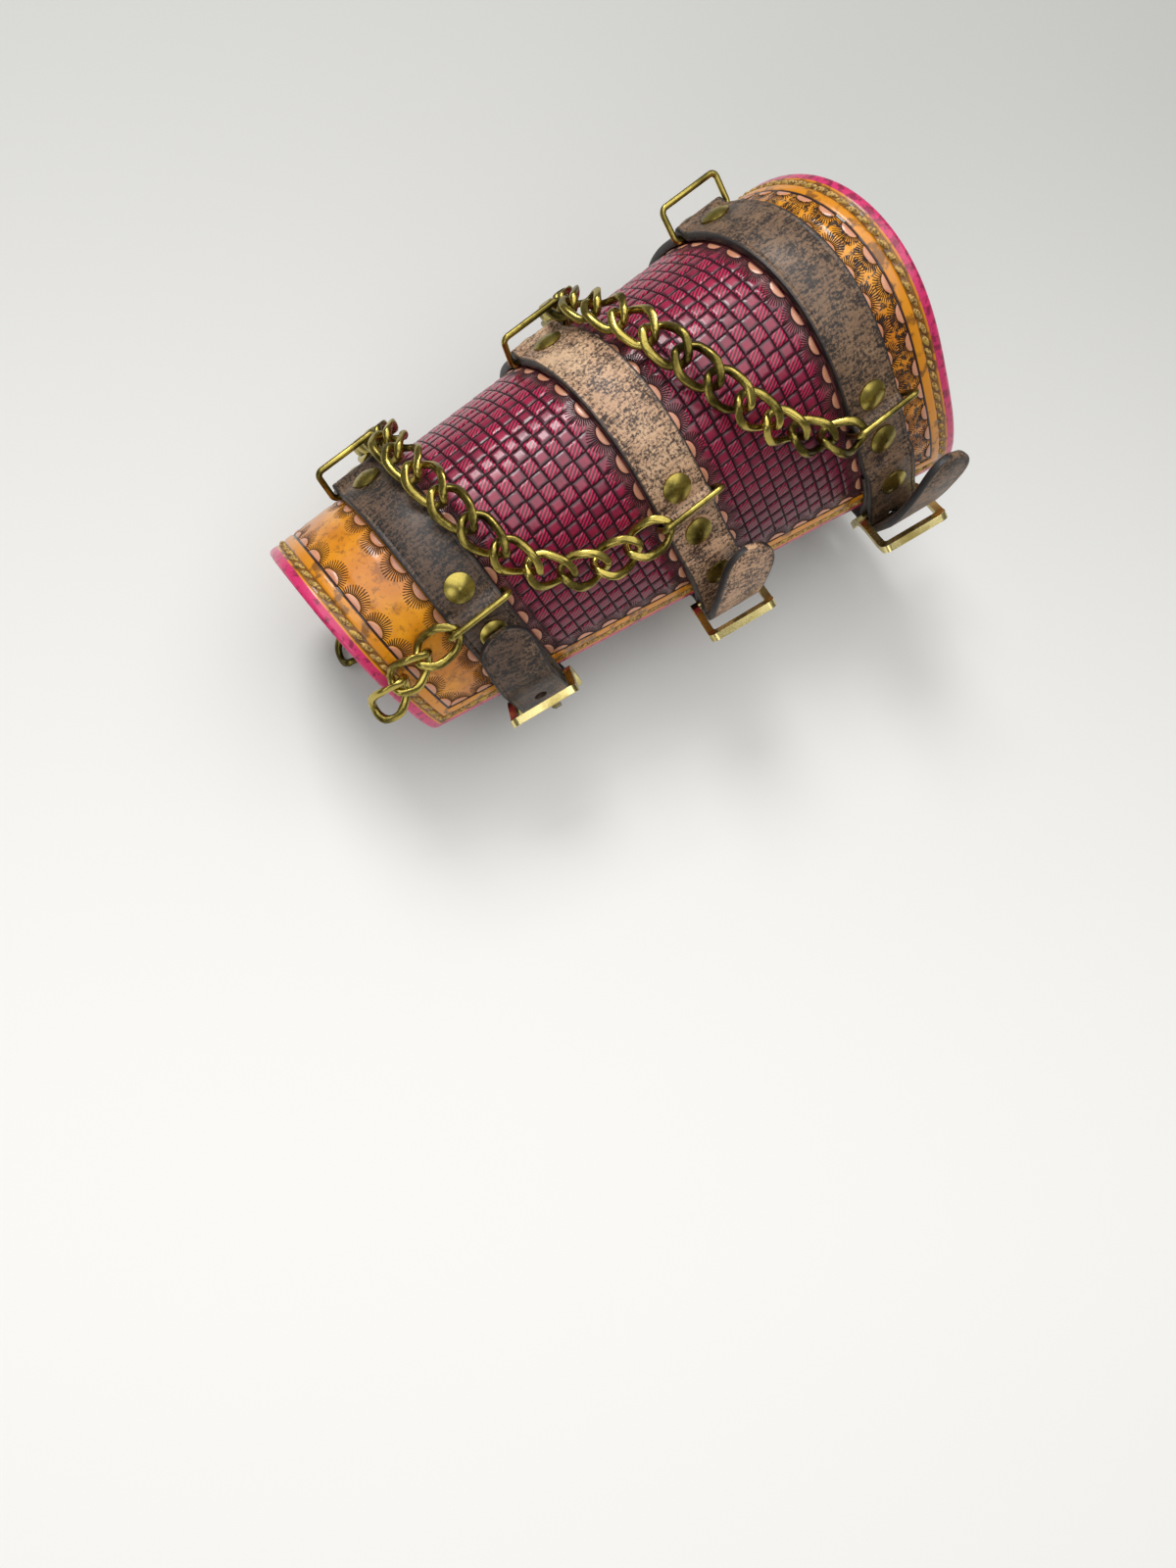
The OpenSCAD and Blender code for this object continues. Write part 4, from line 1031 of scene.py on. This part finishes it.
class BRACER_OT_chains(BracerPiece, bpy.types.Operator):
    """The curb chains: four swags, two middle links and two short tails"""
    bl_idname = "bracer.chains"
    bl_label = "Chains"

    def build(self):
        finish = brass_finish("chain_brass", self.colours.brass, self.colours.tarnish, 0.2)
        for node in sorted(frame["nodes"]):
            if node.startswith(("swag_", "mid_link_", "tail_link_")):
                chain_piece(node, finish)


class BRACER_OT_metal(BracerPiece, bpy.types.Operator):
    """The wire rings, rivets, buckle frames and prongs"""
    bl_idname = "bracer.metal"
    bl_label = "Rings, rivets and buckles"

    def build(self):
        brass = brass_finish("antique_brass", self.colours.brass, self.colours.tarnish, 0.24)
        cast = brass_finish("cast_brass", tone(232, 216, 150), tone(176, 158, 92), 0.2)
        pin = brass_finish("prong_metal", tone(150, 134, 78), tone(84, 74, 42), 0.26)
        for node in sorted(frame["nodes"]):
            if node.startswith(("ring_", "rivet_caps_")):
                refined(node, brass)
            elif node.startswith("rivet_backs_"):
                refined(node, brass)
            elif node.startswith("buckle_frame_"):
                refined(node, cast, 0.0006)
            elif node.startswith("buckle_prong_"):
                refined(node, pin, 0.0004)


class BRACER_OT_stage(BracerPiece, bpy.types.Operator):
    """The pale table, the studio lights and the camera"""
    bl_idname = "bracer.stage"
    bl_label = "Stage"

    def lamp(self, name, place, aim, side, watts):
        light = bpy.data.lights.new(name, "AREA")
        light.shape, light.size, light.energy = "SQUARE", side, watts
        lamp = bpy.data.objects.new(name, light)
        lamp.location = place
        lamp.rotation_euler = (Vector(aim) - Vector(place)).to_track_quat("-Z", "Y").to_euler()
        bpy.context.scene.collection.objects.link(lamp)

    def build(self):
        scene = bpy.context.scene
        reach = 6.0
        mesh = bpy.data.meshes.new("table")
        mesh.from_pydata([(-reach, -reach, 0), (reach, -reach, 0), (reach, reach, 0), (-reach, reach, 0)], [],
                         [(0, 1, 2, 3)])
        top = Finish("table_paper", specular_ior_level=0.2)
        x, y, _ = top.apart(top.place())
        # Painted shade: the table's colour runs from near white at the bottom of the view to grey at the top,
        # standing in for the lights' fall-off across it.
        down = rise(x * 0.57 + y * 0.82, 0.32, -0.3)
        mesh.materials.append(top.done(top.mix(down, tone(190, 190, 187), tone(244, 243, 240)), 0.8))
        table = bpy.data.objects.new("table", mesh)
        scene.collection.objects.link(table)
        self.lamp("key_light", (0.05, 0.55, 0.8), (0, 0, 0.05), 0.32, 4.2)
        self.lamp("top_light", (0.1, -0.1, 1.7), (0, 0, 0.0), 2.2, 27.0)
        self.lamp("fill_light", (-0.9, -0.8, 0.7), (0, 0, 0.05), 0.6, 2.0)
        world = bpy.data.worlds.new("studio")
        world.use_nodes = True
        sky = world.node_tree.nodes["Background"]
        sky.inputs["Color"].default_value = (1.0, 0.99, 0.97, 1.0)
        sky.inputs["Strength"].default_value = 0.16
        scene.world = world
        scene.view_settings.view_transform = "Standard"
        lens = bpy.data.cameras.new("photo_view")
        lens.sensor_fit, lens.sensor_height = "VERTICAL", SENSOR
        lens.lens = SENSOR * FOCAL_PX / HEIGHT_PX
        lens.clip_start = 0.01
        camera = bpy.data.objects.new("photo_view", lens)
        turn = Matrix((CAMERA_RIGHT, CAMERA_UP, -Vector(CAMERA_VIEW))).transposed()
        camera.matrix_world = Matrix.Translation(CAMERA_AT) @ turn.to_4x4()
        scene.collection.objects.link(camera)
        scene.camera = camera


class BRACER_PT_panel(bpy.types.Panel):
    """Builds the bracer's pieces and shows their sizes and colours"""
    bl_idname = "BRACER_PT_panel"
    bl_label = "Bracer"
    bl_space_type = "VIEW_3D"
    bl_region_type = "UI"
    bl_category = "Bracer"

    def draw(self, context):
        for kind in OPERATORS:
            self.layout.operator(kind.bl_idname)
        for group in (context.scene.bracer_sizes, context.scene.bracer_colours):
            box = self.layout.box()
            for key in group.__annotations__:
                box.prop(group, key)


OPERATORS = (BRACER_OT_stage, BRACER_OT_leather, BRACER_OT_lining, BRACER_OT_straps, BRACER_OT_stitching,
             BRACER_OT_chains, BRACER_OT_metal)
CLASSES = (BracerColours, BracerSizes) + OPERATORS + (BRACER_PT_panel,)


def register():
    for kind in CLASSES:
        bpy.utils.register_class(kind)
    bpy.types.Scene.bracer_colours = bpy.props.PointerProperty(type=BracerColours)
    bpy.types.Scene.bracer_sizes = bpy.props.PointerProperty(type=BracerSizes)


def unregister():
    del bpy.types.Scene.bracer_sizes
    del bpy.types.Scene.bracer_colours
    for kind in reversed(CLASSES):
        bpy.utils.unregister_class(kind)


def main():
    register()
    for kind in OPERATORS:
        group, name = kind.bl_idname.split(".")
        getattr(getattr(bpy.ops, group), name)()


if __name__ == "__main__":
    main()
